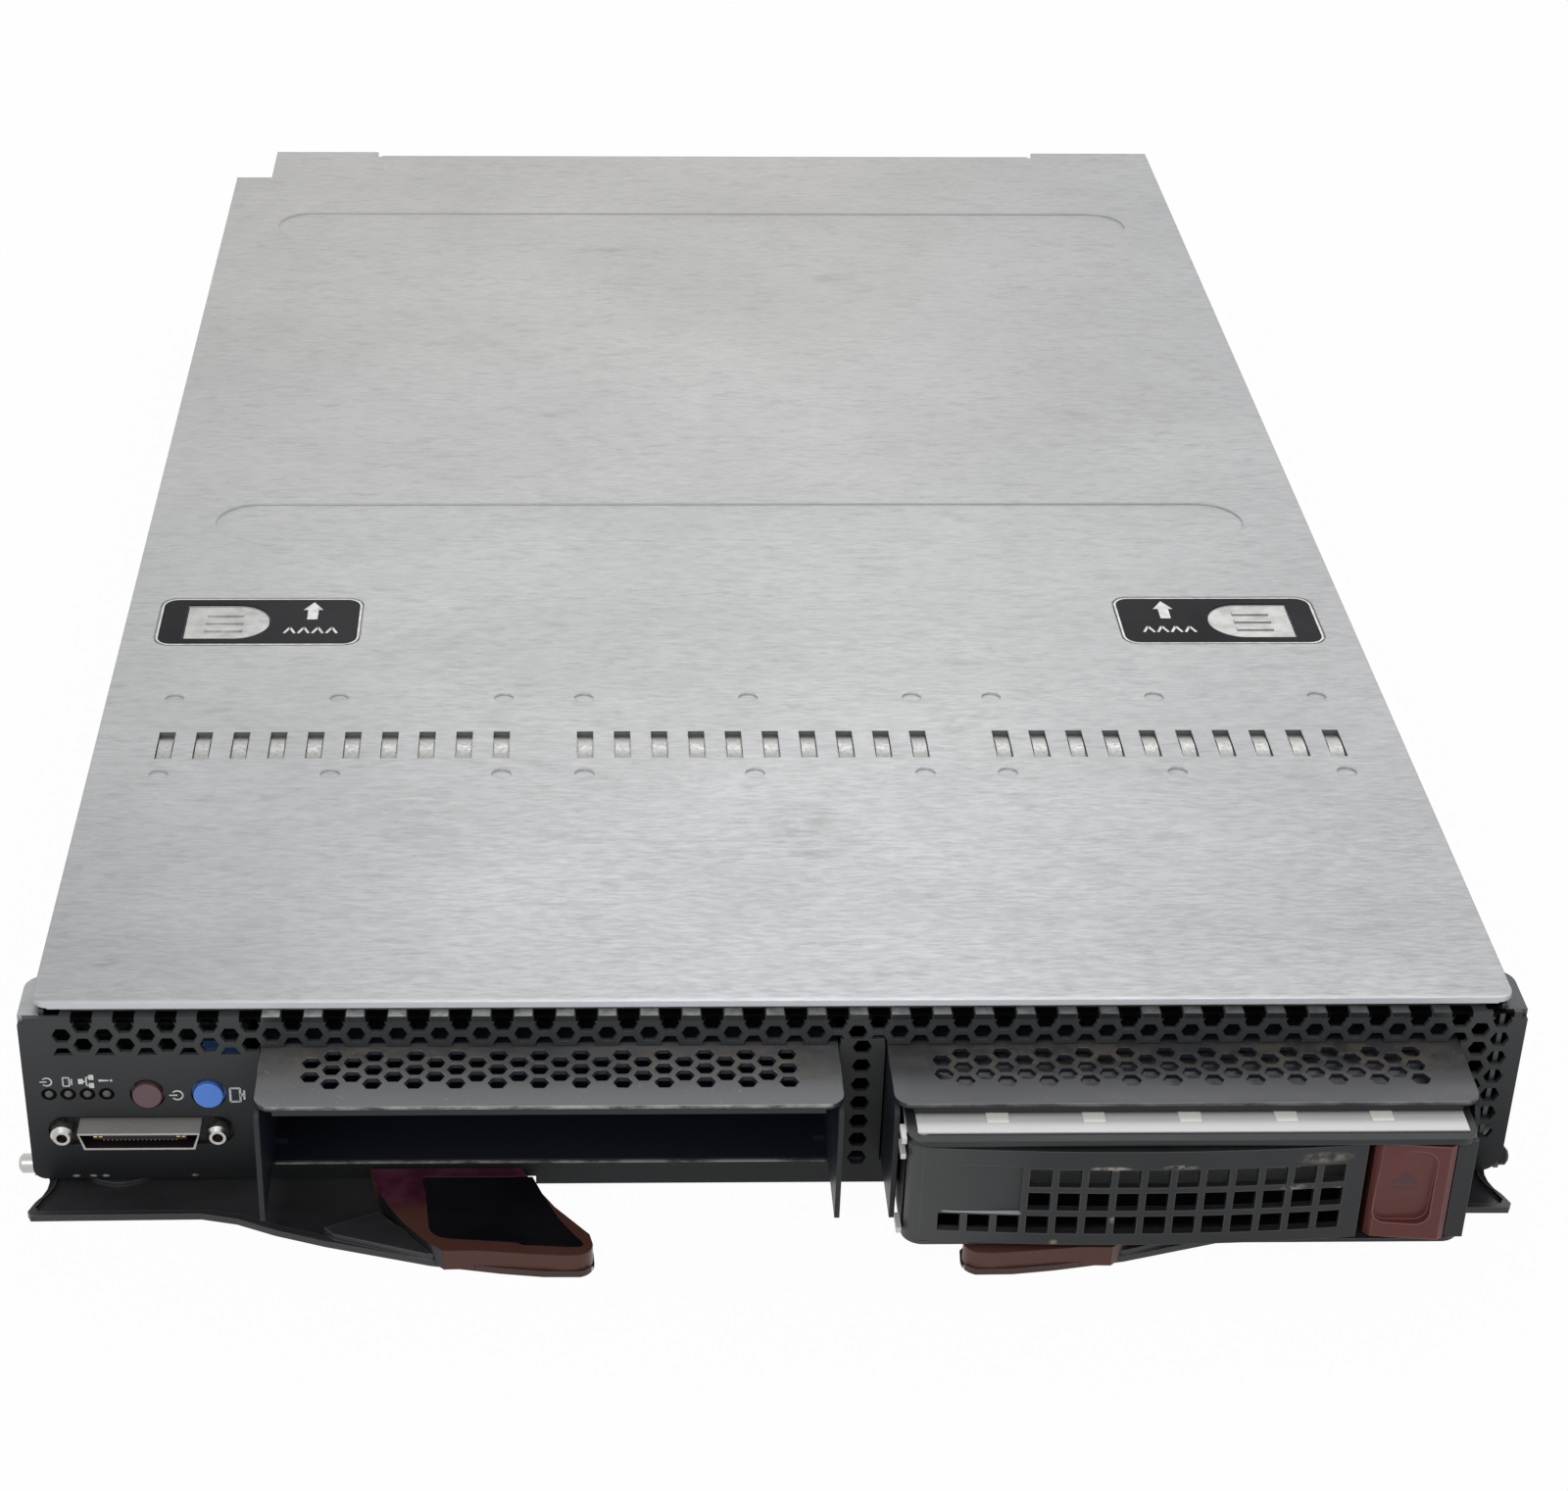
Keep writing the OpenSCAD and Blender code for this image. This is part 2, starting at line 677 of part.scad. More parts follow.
// Finned block with its fins along the air flow, cleared round its four screws
module heatsink() difference() {
    union() {
        block([-sink_w / 2, sink_w / 2], [-sink_w / 2, sink_w / 2], [lid_top, lid_top + sink_base]);
        for (x = [-sink_w / 2 : fin_pitch : sink_w / 2 - fin_t])
            block([x, x + fin_t], [-sink_w / 2, sink_w / 2], [lid_top + sink_base - 0.01, sink_top]);
    }
    for (sx = [-1, 1], sy = [-1, 1]) translate([sx * sink_hole, sy * sink_hole, 0]) {
        translate([0, 0, lid_top - 1]) cylinder(r = 2 + screw_fit, h = sink_base + 2);
        translate([-7, -7, lid_top + sink_base]) cube([14, 14, body_h]);
    }
}

module heatsinks() centred() color("#b5b8bb") for (y = cpu_y) translate([0, y, 0]) heatsink();

// Sprung screws that hold the heatsinks down on to the main board
module heatsink_screws() centred() color("#a8aaad")
    for (y = cpu_y, sx = [-1, 1], sy = [-1, 1])
        translate([sx * sink_hole, y + sy * sink_hole, board_top]) {
            cylinder(r = 2, h = lid_top + sink_base - board_top + 7);
            translate([0, 0, lid_top + sink_base - board_top]) cylinder(r = 2.9, h = 6);
            translate([0, 0, lid_top + sink_base - board_top + 6.9]) cylinder(r = 3.6, h = 2);
        }

bank_x = sink_w / 2 + 14;
bank_y = (cpu_y[0] + cpu_y[1]) / 2;
module_l = 133.35;
module_h = cover_under - board_top - 4.4;
slot_body = 6.6;

function module_x(i) = bank_x + i * module_pitch;

// Sockets with an ejector latch standing at each end
module memory_sockets() centred() color("#20242c") both_sides()
    for (i = [0 : module_count - 1]) translate([module_x(i), bank_y, 0]) {
        difference() {
            block([-3.2, 3.2], [-module_l / 2 - 4, module_l / 2 + 4], [board_top, board_top + slot_body]);
            block([-0.95, 0.95], [-module_l / 2 - 0.3, module_l / 2 + 0.3],
                [board_top + 2.5, board_top + 20]);
        }
        for (s = [-1, 1]) translate([0, s * (module_l / 2 + 2.4), 0])
            block([-2.4, 2.4], [-1.6, 1.6], [board_top + slot_body - 0.01, board_top + 17]);
    }

module memory_modules() centred() color("#1f6b45") both_sides()
    for (i = [0 : module_count - 1]) translate([module_x(i), bank_y, 0]) {
        block([-0.65, 0.65], [-module_l / 2, module_l / 2], [board_top + 2.6, board_top + 2.6 + module_h]);
        for (k = [-4 : 4]) if (k != 0)
            block([-1.75, 1.75], [k * 14 - 5, k * 14 + 5], [board_top + 13, board_top + module_h - 3]);
    }

chip_x = -60;
chip_top = board_top + 2.4;
chip_half = 0.0665 * board_l;
chip_y = tray_l - connector_l - 4 - chip_half;

// Hub, management and network controllers
module controller_chips() centred() color("#17181a") {
    block([chip_x - chip_half + 1, chip_x + chip_half - 1],
        [chip_y - chip_half + 1, chip_y + chip_half - 1], [board_top, chip_top]);
    for (p = [[86, 0.105, 0.042], [28, 0.09, 0.035], [-104, 0.21, 0.0245]]) {
        y = board_y1 - p[1] * board_l;
        half = p[2] * board_l;
        block([p[0] - half, p[0] + half], [y - half, y + half], [board_top, board_top + 2]);
    }
}

module chipset_heatsink() centred() color("#a9acb0") {
    block([chip_x - chip_half, chip_x + chip_half], [chip_y - chip_half, chip_y + chip_half],
        [chip_top, chip_top + 3]);
    for (x = [-chip_half : 4 : chip_half - 2])
        block([chip_x + x, chip_x + x + 1.2], [chip_y - chip_half, chip_y + chip_half],
            [chip_top + 2.99, chip_top + 14.6]);
}

module power_inductors() centred() color("#4a4d50")
    for (y = cpu_y, i = [-2 : 2]) translate([14 * i, y - 0.57 * sink_w, board_top])
        linear_extrude(6.5) rounded(10, 9, 1);

module capacitors() centred() color("#7d6a4a")
    for (y = cpu_y, i = [-3 : 3]) translate([12 * i, y + 0.55 * sink_w, board_top]) difference() {
        cylinder(r = 3.2, h = 9);
        translate([-4, -0.2, 8.6]) cube([8, 0.4, 1]);
    }

// Coin cell for the clock, upright cell clip round it
module battery() centred() translate([-24, board_y1 - 26, board_top]) {
    color("#c8c8c8") translate([0, 0, 1.6]) cylinder(r = 10, h = 3.2);
    color("#1a1a1a") difference() {
        cylinder(r = 11.4, h = 4);
        translate([0, 0, 1.5]) cylinder(r = 10 + screw_fit, h = 4);
        translate([-3, -14, 1.5]) cube([6, 28, 5]);
    }
}

shroud_half = sink_w / 2 + 4;
shroud_y = [cpu_y[0] - sink_w / 2 - 14, cpu_y[1] + sink_w / 2 + 1];

// Duct over the two heatsinks that keeps the air in their fins
module air_shroud() centred() color("#26282b") {
    block([-shroud_half, shroud_half], shroud_y, [sink_top + 0.3, sink_top + 1.1]);
    both_sides() block([shroud_half - 1.2, shroud_half], shroud_y, [board_top, sink_top + 0.31]);
}

module power_connector() centred() color("#161719") difference() {
    block(power_x, [tray_l - connector_l, tray_l], connector_z);
    for (x = [power_x[0] + 4 : 6 : power_x[1] - 6])
        block([x, x + 3], [tray_l - 9, tray_l + 1], [connector_z[0] + 3, connector_z[1] - 3]);
}

module signal_connector() centred() color("#161719") difference() {
    block(signal_x, [tray_l - connector_l, tray_l], connector_z);
    for (z = [connector_z[0] + 3, connector_z[0] + 9])
        block([signal_x[0] + 4, signal_x[1] - 4], [tray_l - 8, tray_l + 1], [z, z + 3]);
}

guide_z = (connector_z[0] + connector_z[1]) / 2;
lead_in = 1.2;

// Cast corner blocks that close the rear wall: each has a socket for one of the enclosure's
// guide pins, with a lead-in at its mouth, and a pocket above it
module guide_sockets() centred() color("#8f9295")
    for (x = guides) difference() {
        block([x - guide_half, x + guide_half], [tray_l - guide_l, tray_l], [sheet, rear_h]);
        rod_y(guide_r, x, guide_z, tray_l - guide_l - 1, tray_l + 1);
        translate([x, tray_l - lead_in, guide_z]) rotate([-90, 0, 0])
            cylinder(r1 = guide_r, r2 = guide_r + 2 * lead_in, h = 2 * lead_in);
        block([x - guide_half + 3, x + guide_half - 3], [tray_l - guide_l - 1, tray_l - 3],
            [guide_z + guide_r + 5, rear_h - 3]);
    }

// ---- ejector levers ----

pivot_shank_r = 2;
web_t = 0.5;
rim_w = 1.3;
lip_w = 1.2;
head_h = 0.5;
head_seat = head_h + 0.2;
slope = atan(grip_rise / 26.6);

// Shoulder rivets that hold the levers under the shelf
module lever_pivots() centred() color("#8c8e90") both_sides()
    translate([pivot_x, pivot_y, 0]) {
        translate([0, 0, lever_z]) cylinder(r = shoulder_r + 2, h = head_h);
        translate([0, 0, lever_z + head_h - 0.01]) cylinder(r = shoulder_r,
            h = lever_slot_h - lever_z - head_h + 0.02);
        translate([0, 0, lever_slot_h]) cylinder(r = shoulder_r + 1.5, h = pocket_h - lever_slot_h);
        translate([0, 0, pocket_h - 0.01]) cylinder(r = pivot_shank_r, h = sheet + 0.01);
    }

// Points of an arc about c from angle a0 to a1
function arc(c, r, a0, a1, n) =
    [for (i = [0 : n]) c + r * [cos(a0 + (a1 - a0) * i / n), sin(a0 + (a1 - a0) * i / n)]];

// Outline of the right lever, with x counted from its pivot and y from the panel: the concave
// cam nose, the front edge out to the grip's end, and back
cam_nose = arc([22.6, -2.2], 9.2, 150, 218, 5);
lever_front = [[16.4, -10.6], [15.7, -11.9], [-17, -11.6], [-24, -13.2], [-31.6, -16.6],
    [-41.5, -20], [-61.5, -25.6], [-75, -28], [-83, -29]];
grip_end = arc([-89, -25.6], 3.6, 255, 180, 6);
lever_back = [[-92.4, -22.6], [-85.6, -14], [-81.8, -7.4], [-78.8, 2], [-22, 4]];

module lever_outline() difference() {
    union() {
        polygon(concat(cam_nose, lever_front, grip_end, lever_back,
            [[-6, pivot_y + 7.6], [8, pivot_y + 4], [12.6, 3]]));
        translate([0, pivot_y]) circle(9);
    }
    translate([0, pivot_y]) circle(shoulder_r + pin_fit);
}

// The part of the lever that the moulded grip covers
module grip_outline() intersection() {
    polygon(concat([[-78.4, -sheet - fit]], arc([-93.6, 7.2], 45.3, -11, -49.5, 10),
        [[-70, -27.1], [-81, -28.3], [-87, -28.8]], arc([-89, -25.4], 3.3, 260, 180, 6),
        [[-91.7, -22.4], [-85, -13.8], [-81.2, -7.2]]));
    translate([-127, -60]) square([120, 60 - sheet - fit]);
}

// The strip of the web that the grip's lip takes the place of
module grip_cover() intersection() {
    difference() {
        translate([0, -1]) grip_outline();
        translate([0, lip_w]) grip_outline();
    }
    translate([-127, -60]) square([57, 60 - sheet - fit]);
}

// Band along the front of the grip, where it reaches down over the edge of the web
module grip_lip() difference() {
    grip_outline();
    translate([0, lip_w]) grip_outline();
}

module inlay_outline() polygon(concat([[-77.4, -4.2]], arc([-84.5, 1.6], 25.6, -13.1, -60, 8),
    [[-79, -25.4], [-88, -26.2], [-89.8, -25.6], [-90, -24.2], [-85.1, -17.4], [-81.1, -10.6]]));

// Everything above the grip's sloping top, lowered by drop
module above_grip(drop)
    translate([0, -sheet - fit, grip_rear_z - drop]) rotate([-slope, 0, 0])
        translate([-127, -60, 0]) cube([180, 120, 20]);

// Thin web with a rim along its front edge, a boss at the pivot and a wedge beside the grip
module lever_plate() difference() {
    union() {
        translate([0, 0, lever_z]) linear_extrude(web_t) difference() {
            lever_outline();
            grip_cover();
        }
        translate([0, 0, lever_z]) linear_extrude(lever_t) difference() {
            lever_outline();
            grip_outline();
            difference() {
                translate([-rim_w, rim_w]) lever_outline();
                translate([0, pivot_y]) circle(9);
            }
        }
        translate([0, 0, lever_z]) linear_extrude(lever_t + 1.3) difference() {
            polygon([[-41, -17.4], [-43, -19.4], [-60.7, -25.2], [-64.2, -25.8], [-56, -18],
                [-51, -13]]);
            grip_outline();
        }
    }
    translate([0, pivot_y, lever_z - 1]) cylinder(r = shoulder_r + 2 + fit, h = head_seat + 1);
}

module lever_grip() difference() {
    union() {
        translate([0, 0, lever_z + web_t]) linear_extrude(8) grip_outline();
        translate([0, 0, lever_z]) linear_extrude(web_t + 0.01) intersection() {
            grip_lip();
            grip_cover();
        }
    }
    above_grip(0);
    difference() {
        translate([0, 0, 1]) linear_extrude(10) inlay_outline();
        above_grip_floor();
    }
}

inlay_depth = 0.9;
inlay_t = 0.6;

// Everything below the seat of the inlay
module above_grip_floor() difference() {
    translate([-127, -60, 0]) cube([150, 80, 20]);
    above_grip(inlay_depth);
}

module lever_inlay() difference() {
    intersection() {
        translate([0, 0, 1]) linear_extrude(10) inlay_outline();
        above_grip(inlay_depth);
    }
    above_grip(inlay_depth - inlay_t);
}

module at_right() translate([pivot_x, 0, 0]) children();
module at_left() mirror([1, 0, 0]) at_right() children();

module left_lever_plate() centred() color("#1a1b1d") at_left() lever_plate();
module right_lever_plate() centred() color("#1a1b1d") at_right() lever_plate();
module left_lever_grip() centred() color("#5a2424") at_left() lever_grip();
module right_lever_grip() centred() color("#5a2424") at_right() lever_grip();
module left_lever_inlay() centred() color("#151518") at_left() lever_inlay();
module right_lever_inlay() centred() color("#151518") at_right() lever_inlay();

// ---- cover ----

label_x = cover_half - 30.6;
label_y = 149.4;
label_r = 4;
label_t = 0.3;
tab_x = label_x + 7.3;
joggle_x = [-99, 105];
joggle_l = 4;
joggle_drop = 1.2;
bead_ys = [199.5, cover_l - 60.5];
dimple_d = 4.2;
dimple_ys = [slot_y - 11.8, slot_y + 20];

// The D-shaped push tab on the right, grown by g
module tab_outline(g) translate([tab_x, label_y]) {
    translate([-tab_w / 2 + tab_l / 2, -tab_l / 2 - g]) square([tab_w - tab_l / 2 + g, tab_l + 2 * g]);
    translate([-tab_w / 2 + tab_l / 2, 0]) circle(tab_l / 2 + g);
}

// Every shape that is pressed down into the cover's sheet
module pressed_shapes() {
    for (y = bead_ys) translate([0, y]) rounded(2 * (cover_half - bead_inset), bead_w, bead_w / 2 - 0.01);
    both_sides() translate([label_x, label_y]) rounded(label_w, label_l, label_r);
    for (g = [-1 : 1], i = [-1 : 1], y = dimple_ys)
        translate([g * group_pitch + 36.2 * i, y]) circle(dimple_d / 2);
}

module gasket_slots() for (g = [-1 : 1], i = [0 : slot_count - 1])
    translate([g * group_pitch + (i - (slot_count - 1) / 2) * slot_pitch, slot_y])
        square([slot_w, slot_l], center = true);

module top_cover() centred() color("#b4b7b9") {
    difference() {
        union() {
            translate([0, 0, cover_under]) linear_extrude(sheet)
                front_rounded(cover_half, 0, cover_l, 3);
            translate([0, 0, cover_under - press]) linear_extrude(sheet) pressed_shapes();
            block([-cover_half + 3, cover_half - 3], [0, sheet], [cover_under - 0.25, body_h]);
            both_sides() block([cover_half - sheet, cover_half], [ear_l + ear_w + 1.2, cover_l],
                [body_h - skirt_h, cover_under + 0.01]);
            block([notch_x, notch_x + sheet], [notch_y, cover_l],
                [body_h - skirt_h, cover_under + 0.01]);
        }
        translate([0, 0, body_h - press]) linear_extrude(5) pressed_shapes();
        translate([0, 0, cover_under - 5]) linear_extrude(20) {
            gasket_slots();
            both_sides() tab_outline(fit);
        }
        block([-cover_half - 1, notch_x], [notch_y, cover_l + 1], [0, 2 * body_h]);
        block(joggle_x, [cover_l - joggle_l, cover_l + 1], [cover_under - 3, body_h + 1]);
    }
    block([joggle_x[0] + 1, joggle_x[1] - 1], [cover_l - joggle_l - sheet, cover_l - joggle_l],
        [cover_under - joggle_drop, cover_under + 0.5]);
    block([joggle_x[0] + 1, joggle_x[1] - 1], [cover_l - joggle_l - 0.01, cover_l],
        [cover_under - joggle_drop, body_h - joggle_drop]);
}

finger_rise = 0.85;
finger_r = (25 + finger_rise * finger_rise) / (2 * finger_rise);

// Spring-finger strips under the cover: one finger bulges up into each slot
module gasket_strips() centred() color("#8d8f90") for (g = [-1 : 1]) {
    translate([g * group_pitch, slot_y, cover_under - gasket_t]) linear_extrude(gasket_t)
        square([slot_pitch * slot_count + 4, slot_l + 4], center = true);
    for (i = [0 : slot_count - 1])
        crosswise(g * group_pitch + (i - (slot_count - 1) / 2) * slot_pitch - slot_w / 2 + 0.25,
            slot_w - 0.5)
            intersection() {
                translate([slot_y, cover_under + finger_rise - finger_r]) difference() {
                    circle(finger_r, $fn = 96);
                    circle(finger_r - gasket_t, $fn = 96);
                }
                translate([slot_y - 5, cover_under - gasket_t / 2]) square([10, 2]);
            }
}

module push_labels() centred() color("#111214") both_sides()
    translate([0, 0, body_h - press]) linear_extrude(label_t) difference() {
        translate([label_x, label_y]) rounded(label_w - 2 * fit, label_l - 2 * fit, label_r - fit);
        tab_outline(fit);
    }

// Latch tab with three finger ribs; it goes down through its window in the label and cover
module push_tab() {
    translate([0, 0, tab_z]) linear_extrude(body_h - 0.4 - tab_z) tab_outline(0);
    for (i = [-1 : 1])
        block([tab_x - 3.5, tab_x + 5], [label_y + 3.6 * i - 0.6, label_y + 3.6 * i + 0.6],
            [body_h - 0.41, body_h - 0.1]);
}

// Leaf spring under the tab, fixed to the cover beside it
module tab_spring() {
    block([tab_x - 24, tab_x + 4], [label_y - 5, label_y + 5], [tab_z - leaf_t, tab_z]);
    block([tab_x - 24, tab_x - 14], [label_y - 5, label_y + 5], [tab_z - 0.01, cover_under - press]);
}

module left_push_tab() centred() color("#c4c5c4") mirror([1, 0, 0]) push_tab();
module right_push_tab() centred() color("#c4c5c4") push_tab();
module left_tab_spring() centred() color("#8f9193") mirror([1, 0, 0]) tab_spring();
module right_tab_spring() centred() color("#8f9193") tab_spring();

// ---- drive carrier, drawn about the middle of its bay ----

module in_right_bay() translate([bay_right_x, 0, 0]) children();

carrier_half = bay_inner - carrier_gap;
bezel_half = carrier_half - 0.2;
drive_half = drive_w / 2;
wall_y = -12;
side_z = floor_z + rail_h + 0.3;
bezel_z0 = floor_z + 0.4;
bezel_z1 = bay_top - hem_h - 0.7;
bezel_y = -27.8;
lip_t = 1.2;
door_z = [bezel_z0 + 1.1, bezel_z1 - lip_t - 0.5];
hinge_r = 2.8;
hinge = [-bezel_half + hinge_r + 0.2, -24];
release_x = bezel_half - 3.9;
door_x1 = release_x - release_w - 1.7;
door_front = -26.6;
door_skin = 1.5;

// Side rails screwed to the drive, joined by a vented front wall
module carrier_tray() centred() in_right_bay() color("#9a9da0") {
    both_sides() difference() {
        block([drive_half + screw_fit, carrier_half], [wall_y, drive_y + drive_l + 1.5],
            [side_z, side_z + 13]);
        for (y = drive_screw_ys) rod_x(1.5 + screw_fit, y, drive_screw_z, drive_half - 1, bay_half);
        for (y = drive_screw_ys) rod_x(2.9, y, drive_screw_z, carrier_half - 1.3, bay_half);
    }
    upright(wall_y, 1.2) difference() {
        translate([-carrier_half, side_z]) square([2 * carrier_half, bezel_z1 - side_z - 1.3]);
        for (i = [-4 : 4]) translate([10.5 * i, (side_z + bezel_z1) / 2]) rounded(8.5, 14, 1.5);
    }
}

upright_z = [bezel_z0 + 0.79, bezel_z1 - lip_t + 0.01];

// Moulded front frame: a lip round the top, a thick right cheek and a post beside the button
module carrier_bezel() centred() in_right_bay() color("#202124") difference() {
    union() {
        intersection() {
            translate([0, 0, bezel_z1 - lip_t]) linear_extrude(lip_t)
                front_rounded(bezel_half, bezel_y, wall_y, 4);
            crosswise(-bezel_half, 2 * bezel_half) {
                translate([bezel_y + lip_t / 2, bezel_z1 - lip_t]) square([20, lip_t]);
                translate([bezel_y + lip_t / 2, bezel_z1 - lip_t / 2]) circle(lip_t / 2);
            }
        }
        translate([0, 0, bezel_z0]) linear_extrude(0.8) front_rounded(bezel_half, bezel_y + 1, wall_y, 4);
        block([release_x + 0.4, bezel_half], [bezel_y + 1.4, wall_y], upright_z);
        block([-bezel_half, -bezel_half + 1], [hinge[1] + hinge_r + 0.4, wall_y], upright_z);
        block([door_x1 + 0.4, door_x1 + 1.2], [-22.5, wall_y], upright_z);
    }
    translate([hinge[0], hinge[1], bezel_z0 - 1]) cylinder(r = pin_r + screw_fit, h = bezel_z1);
}

// Finger strip on top of the frame, and one down its left side
module carrier_shield() centred() in_right_bay() color("#cfcfca") {
    block([-51.2, 51.6], [-25, wall_y], [bezel_z1, bezel_z1 + gasket_t]);
    for (i = [-2 : 2]) block([18 * i - 2.1, 18 * i + 2.1], [-22.2, -17.4],
        [bezel_z1 + gasket_t - 0.01, bezel_z1 + gasket_t + 0.25]);
    block([-bezel_half - 0.2, -bezel_half], [-24, wall_y], [bezel_z0 + 1.2, bezel_z1 - 0.3]);
    for (z = [bezel_z0 + 2.2, bezel_z1 - 5, bezel_z1 - 1.5])
        block([-bezel_half - 1.2, -bezel_half - 0.19], [-26, -21.5], [z, z + 1.2]);
}

door_l = door_x1 - hinge[0] + hinge_r;
door_r = (door_l * door_l / 4 + door_bow * door_bow) / (2 * door_bow);
door_mid = (door_x1 + hinge[0] - hinge_r) / 2;

// Plan of the door's bowed front, t thick
module door_arc(t) intersection() {
    translate([door_mid, door_front - door_bow + door_r]) difference() {
        circle(door_r, $fn = 360);
        circle(door_r - t, $fn = 360);
    }
    translate([hinge[0], -40]) square([door_x1 - hinge[0], 20]);
}

vent_z = [for (i = [0 : 2]) door_z[0] + 10.2 + (i - 1) * door_pitch];
vent_left = hinge[0] + 5.4;
door_columns = floor((door_x1 - 4 - vent_left) / door_pitch);

module door_vents() for (row = [0 : 2], column = [row == 0 ? 0 : 3 : door_columns])
    translate([vent_left + column * door_pitch, vent_z[row]]) square(door_vent, center = true);

// Perforated door of the carrier: pulling it open draws the drive out
module carrier_door() centred() in_right_bay() color("#2b2d2f") difference() {
    union() {
        translate([0, 0, door_z[0]]) linear_extrude(door_z[1] - door_z[0]) door_arc(door_skin);
        for (z = [door_z[0], door_z[1] - 1.2]) translate([0, 0, z]) linear_extrude(1.2) door_arc(3.4);
        translate([0, 0, door_z[0]]) linear_extrude(door_z[1] - door_z[0]) {
            translate(hinge) circle(hinge_r);
            translate([door_x1 - 1.4, door_front + 0.8]) square([1.4, 3]);
        }
    }
    upright(-32, 12) door_vents();
    upright(door_front - door_bow - 3, 4.2)
        translate([vent_left + 5.5, vent_z[1] + 2.6]) square([15.4, 11], center = true);
    translate([hinge[0], hinge[1], 0]) cylinder(r = pin_r + pin_fit, h = body_h);
}

module door_pin() centred() in_right_bay() color("#9fa1a3")
    translate([hinge[0], hinge[1], bezel_z0]) cylinder(r = pin_r, h = bezel_z1 - bezel_z0);

// Release button with a thumb hollow that deepens to the right and downwards
module release_button() centred() in_right_bay() color("#7a3a3c") difference() {
    union() {
        translate([0, 0, door_z[0]]) linear_extrude(door_z[1] - door_z[0]) polygon([
            [release_x - release_w, -20], [release_x - release_w, -25.2],
            [release_x - release_w + 1.1, -26.4], [release_x - 1.2, -27.7],
            [release_x, -26.8], [release_x, -20]]);
        block([release_x - release_w + 3, release_x - 3], [-20.01, wall_y - release_travel - 0.4],
            [door_z[0] + 6, door_z[1] - 6]);
    }
    translate([release_x - release_w / 2 - 1.2, -26.25, (door_z[0] + door_z[1]) / 2 + 1])
        rotate([4, 0, -1]) upright(-4, 4) rounded(release_w - 4.4, 17, 2.6);
}

drive_screw_ys = [drive_y + 28, drive_y + 60, drive_y + 116];
drive_screw_z = side_z + 6.5;

// Cast body of the disk drive with its lid, open underneath for the board
module hard_drive() centred() in_right_bay() color("#a5a8ab") difference() {
    union() {
        block([-drive_half, drive_half], [drive_y, drive_y + drive_l], [drive_z, drive_top - 1.6]);
        translate([0, drive_y + drive_l / 2, drive_top - 1.61]) linear_extrude(1.61)
            rounded(drive_w - 5, drive_l - 5, 6);
    }
    block([-drive_half + 5, drive_half - 5], [drive_y + 8, drive_y + drive_l - 20],
        [drive_z - 1, drive_z + 3]);
    block([-socket_w / 2 - 1.5, socket_w / 2 + 1.5],
        [beam_y - pcb_t - socket_l - 1, drive_y + drive_l + 1],
        [drive_z - 1, socket_z + socket_h + 1]);
    translate([0, drive_y + 62, drive_top - 0.5]) cylinder(r = 44, h = 2);
    both_sides() for (y = drive_screw_ys)
        rod_x(1.5 + screw_fit, y, drive_screw_z, drive_half - 4, drive_half + 1);
}

module drive_board() centred() in_right_bay() color("#1d5b3a") {
    block([-drive_half + 6, drive_half - 6], [drive_y + 9, drive_y + drive_l - 21],
        [drive_z + 1.4, drive_z + 3]);
    block([-14, 14], [drive_y + 40, drive_y + 68], [drive_z + 0.2, drive_z + 1.41]);
}

module drive_screws() centred() in_right_bay() color("#b4b6b8") both_sides()
    for (y = drive_screw_ys) {
        rod_x(1.5, y, drive_screw_z, drive_half - 3.5, carrier_half - 1.2);
        rod_x(2.7, y, drive_screw_z, carrier_half - 1.25, carrier_half - 0.1);
    }

// ---- the nodes ----

base_tray();
rear_panel();
front_panel();
front_gasket();
side_studs();
bay_floor();
left_cage();
right_cage();
bay_rails();
cross_beam();
drive_backplane();
backplane_connectors();
control_board();
status_leds();
port_housing();
port_shell();
port_jackscrews();
power_button();
id_button();
motherboard();
board_standoffs();
board_screws();
cpu_sockets();
processors();
heatsinks();
heatsink_screws();
memory_sockets();
memory_modules();
chipset_heatsink();
power_inductors();
capacitors();
controller_chips();
battery();
air_shroud();
power_connector();
signal_connector();
guide_sockets();
lever_pivots();
left_lever_plate();
left_lever_grip();
left_lever_inlay();
right_lever_plate();
right_lever_grip();
right_lever_inlay();
top_cover();
gasket_strips();
push_labels();
left_push_tab();
right_push_tab();
left_tab_spring();
right_tab_spring();
carrier_tray();
carrier_bezel();
carrier_shield();
carrier_door();
door_pin();
release_button();
hard_drive();
drive_board();
drive_screws();
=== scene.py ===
# %% [markdown]
# # Dressing a blade server
# The solids of this server come from its CAD model: every panel, lever and board already has its
# true size and place. What is left for Blender is how things look: the grain of zinc-coated sheet,
# satin black paint with rubbed edges, glossy moulded grips, printed marks and small fittings.
# Each step below says what the real piece is, how it could be made, and why this way was chosen.

# %% Load the solids
import math
import bpy
import bmesh
from mathutils import Matrix, Vector


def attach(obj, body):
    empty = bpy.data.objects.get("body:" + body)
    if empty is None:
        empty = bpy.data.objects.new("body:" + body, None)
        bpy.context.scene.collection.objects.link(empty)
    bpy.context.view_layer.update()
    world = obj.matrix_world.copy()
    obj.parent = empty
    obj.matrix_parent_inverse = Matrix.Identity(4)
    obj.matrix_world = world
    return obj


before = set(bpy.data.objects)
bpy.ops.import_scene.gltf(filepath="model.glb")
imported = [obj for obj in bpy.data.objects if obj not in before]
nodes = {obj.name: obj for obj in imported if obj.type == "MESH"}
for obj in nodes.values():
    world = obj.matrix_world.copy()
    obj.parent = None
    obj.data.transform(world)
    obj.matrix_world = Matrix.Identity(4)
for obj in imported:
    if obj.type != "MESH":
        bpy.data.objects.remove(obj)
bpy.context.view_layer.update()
MM = 0.001
